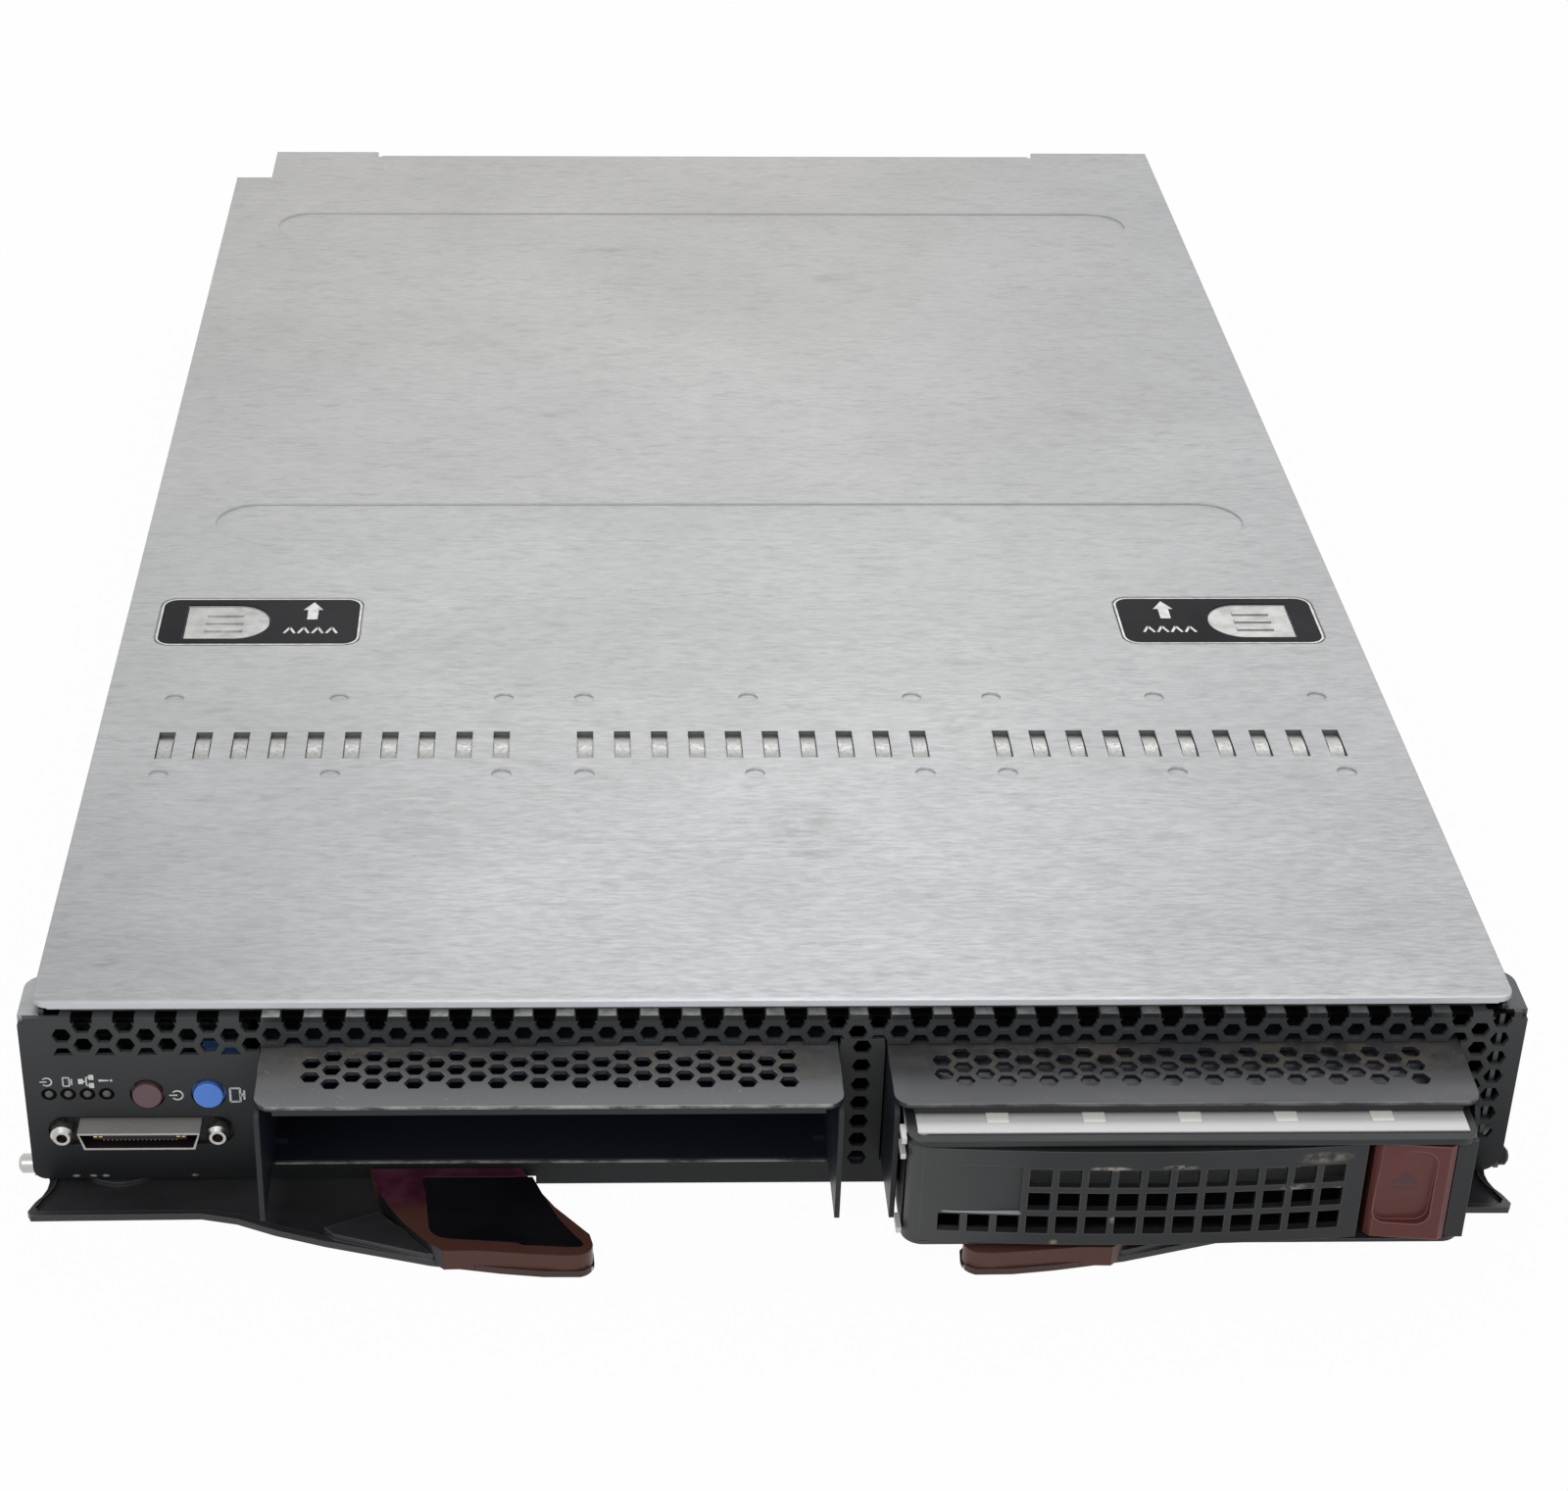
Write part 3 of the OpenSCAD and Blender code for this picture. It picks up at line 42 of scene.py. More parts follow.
FRONT = -226.0  # the front edge of the tray, in millimetres from the middle of its length
print(len(nodes), "solids loaded")

# %% [markdown]
# ## The camera
# A long lens set well back keeps the cover's edges nearly straight, as in a catalogue picture. The
# camera looks down about 31 degrees. Its axis is built from three turns (round the vertical, down,
# and a small roll), which is easier to adjust than a look-at target, and a small sideways shift
# frames the server without turning the camera.

# %% Camera
CAMERA_PLACE = (-0.0381, -0.7105, 0.392)
TURN, DOWN, ROLL = (math.radians(a) for a in (-1.567, 31.1, 0.681))
turn = Matrix(((math.cos(TURN), math.sin(TURN), 0), (-math.sin(TURN), math.cos(TURN), 0), (0, 0, 1)))
tilt = Matrix(((1, 0, 0), (0, math.sin(DOWN), math.cos(DOWN)), (0, -math.cos(DOWN), math.sin(DOWN))))
roll = Matrix(((math.cos(ROLL), math.sin(ROLL), 0), (-math.sin(ROLL), math.cos(ROLL), 0), (0, 0, 1)))
camera = bpy.data.objects.new("camera", bpy.data.cameras.new("camera"))
camera.data.sensor_fit = "HORIZONTAL"
camera.data.sensor_width = 36
camera.data.lens = 72.16
camera.data.shift_x = 0.0861
camera.matrix_world = (Matrix.Translation(CAMERA_PLACE)
                       @ (roll @ tilt @ turn).transposed().to_4x4())
bpy.context.scene.collection.objects.link(camera)
bpy.context.scene.camera = camera
bpy.context.scene.view_settings.view_transform = "Standard"
print("camera lens", camera.data.lens, "mm")

# %% [markdown]
# ## Small helpers for finishes
# A finish is a shader with a few textures feeding it. The same moves come back each time: add a
# node, link it, stretch a noise along one direction, squeeze a value into a range, and mask a place
# by its coordinates or by the way a face looks. Naming these moves keeps every finish below down
# to a few readable lines.

# %% Shader helpers
def add(mat, kind, **settings):
    node = mat.node_tree.nodes.new("ShaderNode" + kind)
    for key, value in settings.items():
        setattr(node, key, value)
    return node


def link(mat, source, target):
    mat.node_tree.links.new(source, target)


def shader_of(mat):
    return mat.node_tree.nodes["Principled BSDF"]


def new_finish(name, colour, rough, metal=0.0):
    mat = bpy.data.materials.new(name)
    mat.use_nodes = True
    shader = shader_of(mat)
    shader.inputs["Base Color"].default_value = (*colour, 1)
    shader.inputs["Roughness"].default_value = rough
    shader.inputs["Metallic"].default_value = metal
    return mat


def noise(mat, scale, stretch=(1, 1, 1), detail=3.0, rough=0.55):
    place = add(mat, "TexCoord")
    squash = add(mat, "Mapping")
    squash.inputs["Scale"].default_value = stretch
    cloud = add(mat, "TexNoise")
    cloud.inputs["Scale"].default_value = scale
    cloud.inputs["Detail"].default_value = detail
    cloud.inputs["Roughness"].default_value = rough
    link(mat, place.outputs["Object"], squash.inputs["Vector"])
    link(mat, squash.outputs["Vector"], cloud.inputs["Vector"])
    return cloud.outputs["Fac"]


def squeeze(mat, value, low, high, to_low=0.0, to_high=1.0):
    node = add(mat, "MapRange")
    for key, number in zip(("From Min", "From Max", "To Min", "To Max"), (low, high, to_low, to_high)):
        node.inputs[key].default_value = number
    link(mat, value, node.inputs["Value"])
    return node.outputs["Result"]


def maths(mat, operation, first, second):
    node = add(mat, "Math", operation=operation)
    for socket, value in zip(node.inputs, (first, second)):
        if isinstance(value, (int, float)):
            socket.default_value = value
        else:
            link(mat, value, socket)
    return node.outputs["Value"]


def overlap(mat, first, *others):
    for value in others:
        first = maths(mat, "MULTIPLY", first, value)
    return first


def position(mat, axis):
    place = add(mat, "TexCoord")
    split = add(mat, "SeparateXYZ")
    link(mat, place.outputs["Object"], split.inputs["Vector"])
    return split.outputs[axis]


def facing(mat, axis, low=0.3, high=0.9):
    surface = add(mat, "NewGeometry")
    split = add(mat, "SeparateXYZ")
    link(mat, surface.outputs["True Normal"], split.inputs["Vector"])
    return squeeze(mat, split.outputs[axis], low, high)


def datum(axis):
    return FRONT if axis == "Y" else 0


def along(mat, axis, low_mm, high_mm, to_low=0.0, to_high=1.0):
    low = (low_mm + datum(axis)) * MM
    high = (high_mm + datum(axis)) * MM
    return squeeze(mat, position(mat, axis), low, high, to_low, to_high)


def from_middle(mat):
    return maths(mat, "ABSOLUTE", position(mat, "X"), 0)


def spot(mat, places, soft=0.1):
    level = []
    for axis, middle, reach in places:
        shifted = maths(mat, "SUBTRACT", position(mat, axis), (middle + datum(axis)) * MM)
        scaled = maths(mat, "DIVIDE", shifted, reach * MM)
        level.append(maths(mat, "MULTIPLY", scaled, scaled))
    return squeeze(mat, maths(mat, "ADD", *level), soft, 1.0, 1.0, 0.0)


def edges(mat, reach_mm, samples=6):
    rounded = add(mat, "Bevel", samples=samples)
    rounded.inputs["Radius"].default_value = reach_mm * MM
    surface = add(mat, "NewGeometry")
    bend = add(mat, "VectorMath", operation="DOT_PRODUCT")
    link(mat, rounded.outputs["Normal"], bend.inputs[0])
    link(mat, surface.outputs["True Normal"], bend.inputs[1])
    return squeeze(mat, bend.outputs["Value"], 0.99, 0.85)


def mixed(mat, amount, first, second):
    node = add(mat, "Mix", data_type="RGBA")
    if isinstance(amount, float):
        node.inputs["Factor"].default_value = amount
    else:
        link(mat, amount, node.inputs["Factor"])
    for key, colour in ((6, first), (7, second)):
        if isinstance(colour, tuple):
            node.inputs[key].default_value = (*colour, 1)
        else:
            link(mat, colour, node.inputs[key])
    return node.outputs[2]


def paint(mat, colour):
    link(mat, colour, shader_of(mat).inputs["Base Color"])


def roughen(mat, value):
    link(mat, value, shader_of(mat).inputs["Roughness"])


def masked(mat, mask, socket, outside, inside):
    link(mat, squeeze(mat, mask, 0, 1, outside, inside), shader_of(mat).inputs[socket])


def relief(mat, height, depth_mm, edge_mm=0.25):
    soft = add(mat, "Bevel", samples=4)
    soft.inputs["Radius"].default_value = edge_mm * MM
    bump = add(mat, "Bump")
    bump.inputs["Distance"].default_value = depth_mm * MM
    bump.inputs["Strength"].default_value = 1.0
    link(mat, height, bump.inputs["Height"])
    link(mat, soft.outputs["Normal"], bump.inputs["Normal"])
    link(mat, bump.outputs["Normal"], shader_of(mat).inputs["Normal"])


print("helpers ready")

# %% [markdown]
# ## Zinc-coated sheet
# The cover and the tray are rolled steel with a thin zinc coat. Rolling leaves a fine grain that
# runs across the blade, and years of handling leave dull clouds and a few small rub marks. A noise
# stretched ten times along X makes the grain and a wide, faint one the clouds. The contrast stays
# low: bare zinc reads as metal through its reflections, not through drawn streaks.

# %% Zinc-coated steel
def zinc_sheet(name, colour, stretch=(0.16, 1, 1)):
    mat = new_finish(name, colour, 0.42, metal=0.8)
    grain = noise(mat, 1800, stretch, detail=3)
    cloud = noise(mat, 16, (1, 1.4, 1), detail=6, rough=0.6)
    mottle = noise(mat, 380, (0.32, 1, 1), detail=6, rough=0.7)
    dark = tuple(c * 0.92 for c in colour)
    pale = tuple(min(1, c * 1.06) for c in colour)
    toned = mixed(mat, squeeze(mat, cloud, 0.32, 0.72), dark, pale)
    spotted = tuple(c * 0.72 for c in colour)
    ground = tuple(c * 0.66 for c in colour)
    mottled = mixed(mat, squeeze(mat, mottle, 0.52, 0.76, 0, 0.8), toned, spotted)
    grained = mixed(mat, squeeze(mat, grain, 0.38, 0.66, 0, 0.3), mottled, ground)
    paint(mat, grained)
    roughen(mat, squeeze(mat, grain, 0.2, 0.8, 0.36, 0.5))
    relief(mat, grain, 0.006)
    return mat, grained


# painted shade: the tray is dark inside its walls and inside the ears beside the panel; the right ear is
# darker too
WALL = 139.64
EAR_WALL = 142.8
zinc, coated = zinc_sheet("zinc_sheet", (0.36, 0.365, 0.37))
aside = from_middle(zinc)
inside = squeeze(zinc, aside, (WALL + 0.02) * MM, (WALL - 0.02) * MM)
in_ear = overlap(zinc, squeeze(zinc, aside, (EAR_WALL + 0.02) * MM, (EAR_WALL - 0.02) * MM),
                 facing(zinc, "Y", -0.1, -0.4), along(zinc, "Y", 14, 13.8))
dark_right_ear = overlap(zinc, along(zinc, "X", 139.75, 139.85), along(zinc, "Y", 13.5, 13.2))
inside = maths(zinc, "MAXIMUM", inside, maths(zinc, "MAXIMUM", in_ear, dark_right_ear))
paint(zinc, mixed(zinc, inside, coated, (0.075, 0.077, 0.08)))
zinc_inner, _ = zinc_sheet("zinc_inner", (0.38, 0.39, 0.40), (1, 0.1, 1))
print("made", zinc.name)

# %% [markdown]
# ## The cover's own marks
# The cover has the same zinc, with marks of its own: a few dull stains and scuffs at known places,
# a painted highlight on the rolled front edge and on the walls of the pressed beads, painted shade
# on the slot walls, the right side and the front corners, and a slight change from warm at the back
# to cool at the front. A stain is a noise kept inside an ellipse. The ellipses come from a list, so
# another mark costs one line: middle across and back, reach across and back, and strength.

# %% Cover marks
STAINS = ((10.0, 58.0, 12, 14, 0.30), (-129.0, 14.0, 4, 2.5, 0.45), (44.0, 100.5, 4, 4, 0.35),
          (-24.0, 372.0, 22, 5, 0.22), (35.0, 352.0, 8, 3, 0.55), (105.0, 262.0, 26, 24, 0.16),
          (-80.0, 70.0, 30, 20, 0.07), (70.0, 25.0, 60, 14, 0.06), (-40.0, 140.0, 60, 30, 0.06))
cover_zinc, wear_and_painted_light = zinc_sheet("cover_zinc", (0.43, 0.432, 0.432))
blotch = noise(cover_zinc, 170, (0.5, 1.2, 1), detail=6, rough=0.75)
for x, y, across, deep, strength in STAINS:
    inside = maths(cover_zinc, "MULTIPLY", spot(cover_zinc, (("X", x, across), ("Y", y, deep))),
                   squeeze(cover_zinc, blotch, 0.40, 0.62, 0, strength))
    wear_and_painted_light = mixed(cover_zinc, inside, wear_and_painted_light, (0.16, 0.155, 0.15))
# painted highlight: the walls of the pressed beads and dimples are pale
flat = maths(cover_zinc, "ABSOLUTE", facing(cover_zinc, "Z", 0.2, 0.9), 0)
pressed = maths(cover_zinc, "SUBTRACT", 1.0, flat)
pressed = maths(cover_zinc, "MULTIPLY", pressed, along(cover_zinc, "Z", 41.8, 42.0, 0, 0.8))
wear_and_painted_light = mixed(cover_zinc, pressed, wear_and_painted_light, (0.80, 0.81, 0.82))
# painted shade: the walls of the slot rows are near black
slot_rows = overlap(cover_zinc, along(cover_zinc, "Y", 88, 88.2), along(cover_zinc, "Y", 101, 100.8))
slot_wall_shade = maths(cover_zinc, "MULTIPLY", pressed, slot_rows)
wear_and_painted_light = mixed(cover_zinc, slot_wall_shade, wear_and_painted_light, (0.03, 0.03, 0.03))
# painted highlight: the rolled front edge is almost white, and a band 1.5 mm behind it is paler
rolled = overlap(cover_zinc, facing(cover_zinc, "Y", -0.5, -0.9), along(cover_zinc, "Y", 0.5, 0.3))
wear_and_painted_light = mixed(cover_zinc, rolled, wear_and_painted_light, (0.95, 0.96, 0.98))
# the painted highlights on the walls and the front edge are barely metallic, so their pale colour shows
dull = maths(cover_zinc, "MAXIMUM", pressed, rolled)
masked(cover_zinc, dull, "Metallic", 0.8, 0.1)
wear_and_painted_light = mixed(cover_zinc, along(cover_zinc, "Y", 0.5, 1.5, 0.6, 0.0), wear_and_painted_light, (0.62, 0.63, 0.65))
coolness = along(cover_zinc, "Y", 0, -2 * FRONT, 1, 0)
tint_and_shade = mixed(cover_zinc, coolness, (0.95, 0.93, 0.905), (0.965, 0.99, 1.0))
# painted shade: the right side and the front corners of the cover are darker
tint_and_shade = mixed(cover_zinc, along(cover_zinc, "X", 30, 140), tint_and_shade, (0.86, 0.86, 0.87))
shaded_front_corners = overlap(cover_zinc, along(cover_zinc, "Y", 120, 20),
                        squeeze(cover_zinc, from_middle(cover_zinc), 60 * MM, 135 * MM))
tint_and_shade = mixed(cover_zinc, shaded_front_corners, tint_and_shade, (0.82, 0.825, 0.84))
toned = add(cover_zinc, "Mix", data_type="RGBA", blend_type="MULTIPLY")
toned.inputs["Factor"].default_value = 1.0
link(cover_zinc, wear_and_painted_light, toned.inputs[6])
link(cover_zinc, tint_and_shade, toned.inputs[7])
paint(cover_zinc, toned.outputs[2])
print(len(STAINS), "marks on the cover")

# %% [markdown]
# ## Satin black paint
# The panel, the cages and the lever plates are painted a fine satin black. Dust lies on faces that
# look up, and paint rubs off where hands and neighbours touch it. The dust is a mask of small spots
# multiplied by how much a face looks up; every edge also gets a painted highlight, a lighter grey,
# and the worn edges come later, piece by piece.

# %% Black paint
BARE_STEEL = (0.42, 0.42, 0.41)


def black_coat(name, colour, film=0.2, rough=0.36, rub=0.4, reach=0.3, shine=0.5):
    mat = new_finish(name, colour, rough)
    shader_of(mat).inputs["Specular IOR Level"].default_value = shine
    up = facing(mat, "Z")
    smear = noise(mat, 60, (0.6, 1.5, 1), detail=5, rough=0.65)
    specks = squeeze(mat, noise(mat, 1100, (1, 0.7, 1), detail=2, rough=0.5), 0.70, 0.76, 0, film)
    dust = maths(mat, "MULTIPLY", up, squeeze(mat, smear, 0.35, 0.75, film * 0.6, film * 1.2))
    tone = mixed(mat, dust, colour, (0.36, 0.365, 0.375))
    tone = mixed(mat, maths(mat, "MULTIPLY", specks, up), tone, (0.42, 0.40, 0.36))
    # painted highlight: every edge is a lighter grey; the chips below are bare steel
    edge = edges(mat, reach)
    tone = mixed(mat, maths(mat, "MULTIPLY", edge, 0.5), tone, (0.10, 0.10, 0.105))
    flakes = noise(mat, 230, (0.5, 1, 1), detail=5, rough=0.7)
    chips = squeeze(mat, flakes, 0.62 - 0.12 * rub, 0.74 - 0.12 * rub)
    chipped = maths(mat, "MULTIPLY", maths(mat, "MULTIPLY", edge, chips), rub)
    tone = mixed(mat, chipped, tone, BARE_STEEL)
    paint(mat, tone)
    roughen(mat, squeeze(mat, smear, 0.3, 0.8, rough - 0.06, rough + 0.16))
    relief(mat, noise(mat, 1500, detail=2), 0.008)
    return mat, tone


def marks(mat, tone, places, colour, scale=400):
    grit = noise(mat, scale, detail=5, rough=0.7)
    for first, second, strength in places:
        here = maths(mat, "MULTIPLY", spot(mat, (first, second)), squeeze(mat, grit, 0.42, 0.58, 0, strength))
        tone = mixed(mat, here, tone, colour)
    paint(mat, tone)
    return tone


black_paint, tone = black_coat("black_paint", (0.010, 0.010, 0.011), film=0.34, rub=0.9)
top = overlap(black_paint, along(black_paint, "Z", 32.9, 33.1), along(black_paint, "Y", 0.6, 0.2))
# painted shade: away from the cage tops the paint is a flat dark blue-grey for the inside of the bays; faces
# ahead of the cage fronts get a painted highlight, a little lighter
shadowed = mixed(black_paint, along(black_paint, "Y", -18.2, -18.8), (0.019, 0.021, 0.033),
                 (0.035, 0.036, 0.038))
# the cage tops right of x = 25 mm are darker
darker_right = mixed(black_paint, 0.6, tone, (0.012, 0.013, 0.017))
tone = mixed(black_paint, along(black_paint, "X", 10, 25), tone, darker_right)
tone = mixed(black_paint, top, shadowed, tone)
grime = [(("X", x, 34), ("Y", -5, 8), 0.3) for x in (-76, -10, 50, 108)]
grimy = marks(black_paint, tone, grime, (0.24, 0.19, 0.12), scale=260)
tone = mixed(black_paint, top, tone, grimy)
grit = noise(black_paint, 300, (0.4, 1, 1), detail=5, rough=0.7)
hem_rub = overlap(black_paint, along(black_paint, "Z", 32.5, 32.8), along(black_paint, "Y", -19.1, -19.3),
                  along(black_paint, "X", 20, 10, 0.35, 1), squeeze(black_paint, grit, 0.40, 0.6, 0.12, 0.9))
paint(black_paint, mixed(black_paint, hem_rub, tone, BARE_STEEL))
masked(black_paint, top, "Specular IOR Level", 0.16, 0.5)
panel_paint, tone = black_coat("panel_paint", (0.009, 0.010, 0.011), film=0.1, rough=0.45, rub=0.25,
                               reach=0.12, shine=0.25)
# painted light: the panel grows lighter towards its top
tone = mixed(panel_paint, along(panel_paint, "Z", 4, 38, 0, 0.11), tone, (0.36, 0.37, 0.37))
nicks = [(("X", x, 0.9), ("Z", 2.6, 0.35), 0.9) for x in (-135.5, -132.2, -129.8, -112.4)]
tone = marks(panel_paint, tone, nicks, BARE_STEEL)
grit = noise(panel_paint, 300, (0.4, 1, 1), detail=5, rough=0.7)
sill_rub = overlap(panel_paint, along(panel_paint, "Z", 5.1, 5.25), along(panel_paint, "Z", 5.7, 5.6),
                   along(panel_paint, "Y", -0.2, -0.8), along(panel_paint, "X", -96.9, -96.5),
                   along(panel_paint, "X", 10.8, 10.4), squeeze(panel_paint, grit, 0.40, 0.58, 0.12, 0.9))
tone = mixed(panel_paint, sill_rub, tone, BARE_STEEL)
# the upper row of vents is open to the panel's edge: painted shade, near black, fills every second column to
# the top
FIRST_VENT, VENT_PITCH = -135.6, 3.98
from_column = maths(panel_paint, "ADD", position(panel_paint, "X"), -FIRST_VENT * MM)
nearest = maths(panel_paint, "PINGPONG", from_column, VENT_PITCH * MM)
open_top = overlap(panel_paint, squeeze(panel_paint, nearest, 1.85 * MM, 2.0 * MM),
                   along(panel_paint, "Z", 39.1, 39.3), along(panel_paint, "X", -134.2, -133.8),
                   along(panel_paint, "X", 141.2, 141.0))
paint(panel_paint, mixed(panel_paint, open_top, tone, (0.002, 0.002, 0.002)))
masked(panel_paint, open_top, "Specular IOR Level", 0.25, 0.02)
lever_paint, tone = black_coat("lever_paint", (0.010, 0.010, 0.011), film=0.06, rough=0.33, rub=0.5,
                               reach=0.2, shine=0.35)
# painted highlight: the rim's top edge is a light grey
lever_rim = overlap(lever_paint, edges(lever_paint, 0.25), along(lever_paint, "Z", 1.0, 1.3))
tone = mixed(lever_paint, lever_rim, tone, (0.22, 0.22, 0.23))
# painted light: faces that look forward are a little lighter
tone = mixed(lever_paint, facing(lever_paint, "Y", -0.3, -0.7), tone, (0.035, 0.035, 0.037))
under_grip = overlap(lever_paint, squeeze(lever_paint, from_middle(lever_paint), 63 * MM, 61 * MM),
                     along(lever_paint, "Y", -24, -25.5))
paint(lever_paint, mixed(lever_paint, under_grip, tone, (0.050, 0.026, 0.020)))
gasket_paint, tone = black_coat("gasket_paint", (0.016, 0.017, 0.018), film=0.2, rough=0.3, rub=0.6,
                                reach=0.2)
worn_bend = overlap(gasket_paint, facing(gasket_paint, "Z", 0.2, 0.8), along(gasket_paint, "X", 150, -60),
                    squeeze(gasket_paint, noise(gasket_paint, 500, detail=4), 0.3, 0.6, 0.35, 1))
paint(gasket_paint, mixed(gasket_paint, worn_bend, tone, (0.50, 0.50, 0.49)))
print("made", black_paint.name)

# %% [markdown]
# ## Moulded plastics
# The grips and the release button are moulded in a brownish red, the identity button in blue. Such
# plastic is glossy with a very fine spark-eroded texture and a slight change of tone where it is
# thin. A clear coat would be too shiny, so only the roughness is lowered.

# %% Plastics
def moulded(name, colour, rough, tone=0.12, scale=900, depth=0.01, shine=0.5):
    mat = new_finish(name, colour, rough)
    shader_of(mat).inputs["Specular IOR Level"].default_value = shine
    texture = noise(mat, scale, detail=2)
    drift = noise(mat, 30, detail=4)
    paler = tuple(min(1, c * (1 + tone) + 0.01) for c in colour)
    body = mixed(mat, squeeze(mat, drift, 0.35, 0.7), colour, paler)
    paint(mat, body)
    roughen(mat, squeeze(mat, drift, 0.3, 0.7, rough - 0.05, rough + 0.07))
    relief(mat, texture, depth)
    return mat, body


maroon, body = moulded("maroon_grip", (0.088, 0.034, 0.025), 0.33, tone=0.2, shine=0.25)
purple = maths(maroon, "MULTIPLY", facing(maroon, "Z"), along(maroon, "Y", -15, -11))
cloudy = squeeze(maroon, noise(maroon, 150, detail=3), 0.4, 0.65)
bruise = mixed(maroon, cloudy, (0.055, 0.012, 0.026), (0.11, 0.03, 0.055))
body = mixed(maroon, purple, body, bruise)
# painted shade: faces of the left grip that look left are near black
flank = overlap(maroon, squeeze(maroon, position(maroon, "X"), 0, -1 * MM), facing(maroon, "X", -0.35, -0.6),
                along(maroon, "Y", -6, -9))
paint(maroon, mixed(maroon, flank, body, (0.012, 0.012, 0.013)))
button_red, body = moulded("button_red", (0.110, 0.031, 0.027), 0.36, tone=0.15, shine=0.25)
# painted highlight: the button's edges are paler
paint(button_red, mixed(button_red, edges(button_red, 0.5), body, (0.26, 0.13, 0.115)))
power_red, _ = moulded("power_red", (0.115, 0.062, 0.072), 0.35)
blue_cap, body = moulded("blue_cap", (0.080, 0.235, 0.740), 0.32)
# painted highlight: the cap's edges are paler
paint(blue_cap, mixed(blue_cap, edges(blue_cap, 0.25), body, (0.30, 0.42, 0.85)))
gloss_black, _ = moulded("gloss_black", (0.006, 0.006, 0.008), 0.2, shine=0.05)
matt_black, _ = moulded("matt_black", (0.014, 0.014, 0.015), 0.5, shine=0.3)
carrier_black, tone = moulded("carrier_black", (0.017, 0.018, 0.019), 0.4, shine=0.3)
# painted light: the door grows lighter towards its left
door_side = overlap(carrier_black, along(carrier_black, "X", 22, 48, 0.12, 0),
                    along(carrier_black, "Z", 29.2, 29.0))
tone = mixed(carrier_black, door_side, tone, (0.36, 0.36, 0.35))
# painted highlight: the edges are a lighter grey
edge_highlight = maths(carrier_black, "MULTIPLY", edges(carrier_black, 0.25), 0.75)
tone = mixed(carrier_black, edge_highlight, tone, (0.16, 0.16, 0.165))
# painted highlight: a pale line along the lower edge of the door's label recess
ledge = overlap(carrier_black,
                along(carrier_black, "Z", 14.0, 14.08), along(carrier_black, "Z", 14.36, 14.28),
                along(carrier_black, "X", 30, 30.6), along(carrier_black, "X", 45.2, 44.6))
tone = mixed(carrier_black, ledge, tone, (0.42, 0.43, 0.44))
scratches = ((("X", 61, 4.5), ("Z", 25.0, 0.6), 0.9), (("X", 74, 3.5), ("Z", 25.2, 0.7), 0.9),
             (("X", 51.6, 1.0), ("Z", 7.4, 0.8), 0.8), (("X", 62.2, 0.7), ("Z", 12.8, 0.9), 0.8),
             (("X", 101, 6.0), ("Z", 26.4, 1.5), 0.45), (("X", 97, 4.0), ("Z", 19.6, 0.9), 0.6))
tone = marks(carrier_black, tone, scratches, (0.36, 0.32, 0.25), scale=500)
# painted shade: the inside of the bezel, behind the door's vents, is near black
deep = overlap(carrier_black, along(carrier_black, "Y", -23, -22), along(carrier_black, "Z", 30.4, 30.3))
paint(carrier_black, mixed(carrier_black, deep, tone, (0.004, 0.004, 0.005)))
masked(carrier_black, deep, "Specular IOR Level", 0.3, 0.03)
socket_dark, _ = moulded("socket_dark", (0.022, 0.023, 0.026), 0.45)
lamp_lens, _ = moulded("lamp_lens", (0.003, 0.003, 0.003), 0.4, shine=0.02)
dome_grey, _ = moulded("dome_grey", (0.085, 0.082, 0.085), 0.3)
print("made", maroon.name, "and the other plastics")

# %% [markdown]
# ## Bright metals and circuit boards
# Springs and fasteners are bright steel; the port's contacts are gold. A circuit board is green
# lacquer over copper, so straight tracks show as slightly paler lines. Two brick-like textures
# would repeat too plainly; a stepped noise on coarse cells reads as tracks at this size.

# %% Metals and boards
def bright_metal(name, colour, rough, scale=1200, stretch=(1, 1, 0.2)):
    mat = new_finish(name, colour, rough, metal=1.0)
    scuff = noise(mat, scale, stretch, detail=3)
    paint(mat, mixed(mat, squeeze(mat, scuff, 0.35, 0.75), colour, tuple(c * 0.75 for c in colour)))
    roughen(mat, squeeze(mat, scuff, 0.3, 0.7, rough - 0.05, rough + 0.12))
    relief(mat, scuff, 0.01, edge_mm=0.12)
    return mat


def board(name, colour):
    mat = new_finish(name, colour, 0.35)
    lengthwise = noise(mat, 420, (1, 0.06, 1), detail=0)
    crosswise = noise(mat, 420, (0.06, 1, 1), detail=0)
    tracks = maths(mat, "MAXIMUM", squeeze(mat, lengthwise, 0.60, 0.62), squeeze(mat, crosswise, 0.61, 0.63))
    paint(mat, mixed(mat, tracks, colour, tuple(min(1, c * 1.7 + 0.01) for c in colour)))
    relief(mat, tracks, 0.03)
    return mat


spring_metal = bright_metal("spring_metal", (0.50, 0.50, 0.48), 0.3)
finger_metal = bright_metal("finger_metal", (0.40, 0.40, 0.39), 0.32)
plated = bright_metal("plated_steel", (0.56, 0.55, 0.53), 0.28)
tab_metal = bright_metal("tab_metal", (0.42, 0.42, 0.415), 0.32, scale=300)
gold = bright_metal("gold_contact", (0.80, 0.50, 0.20), 0.28)
dull_gold = bright_metal("dull_gold", (0.34, 0.25, 0.19), 0.35)
cast_alloy = bright_metal("cast_alloy", (0.50, 0.51, 0.52), 0.4, scale=700, stretch=(1, 1, 1))
fins = bright_metal("fin_alloy", (0.60, 0.61, 0.62), 0.3, scale=900, stretch=(1, 0.1, 1))
brass = bright_metal("brass", (0.52, 0.38, 0.14), 0.3)
green_board = board("green_board", (0.010, 0.060, 0.032))
dark_board = board("dark_board", (0.004, 0.014, 0.010))
shell_metal, plating = moulded("port_plating", (0.42, 0.40, 0.37), 0.3, tone=0.25, scale=1500, depth=0.004)
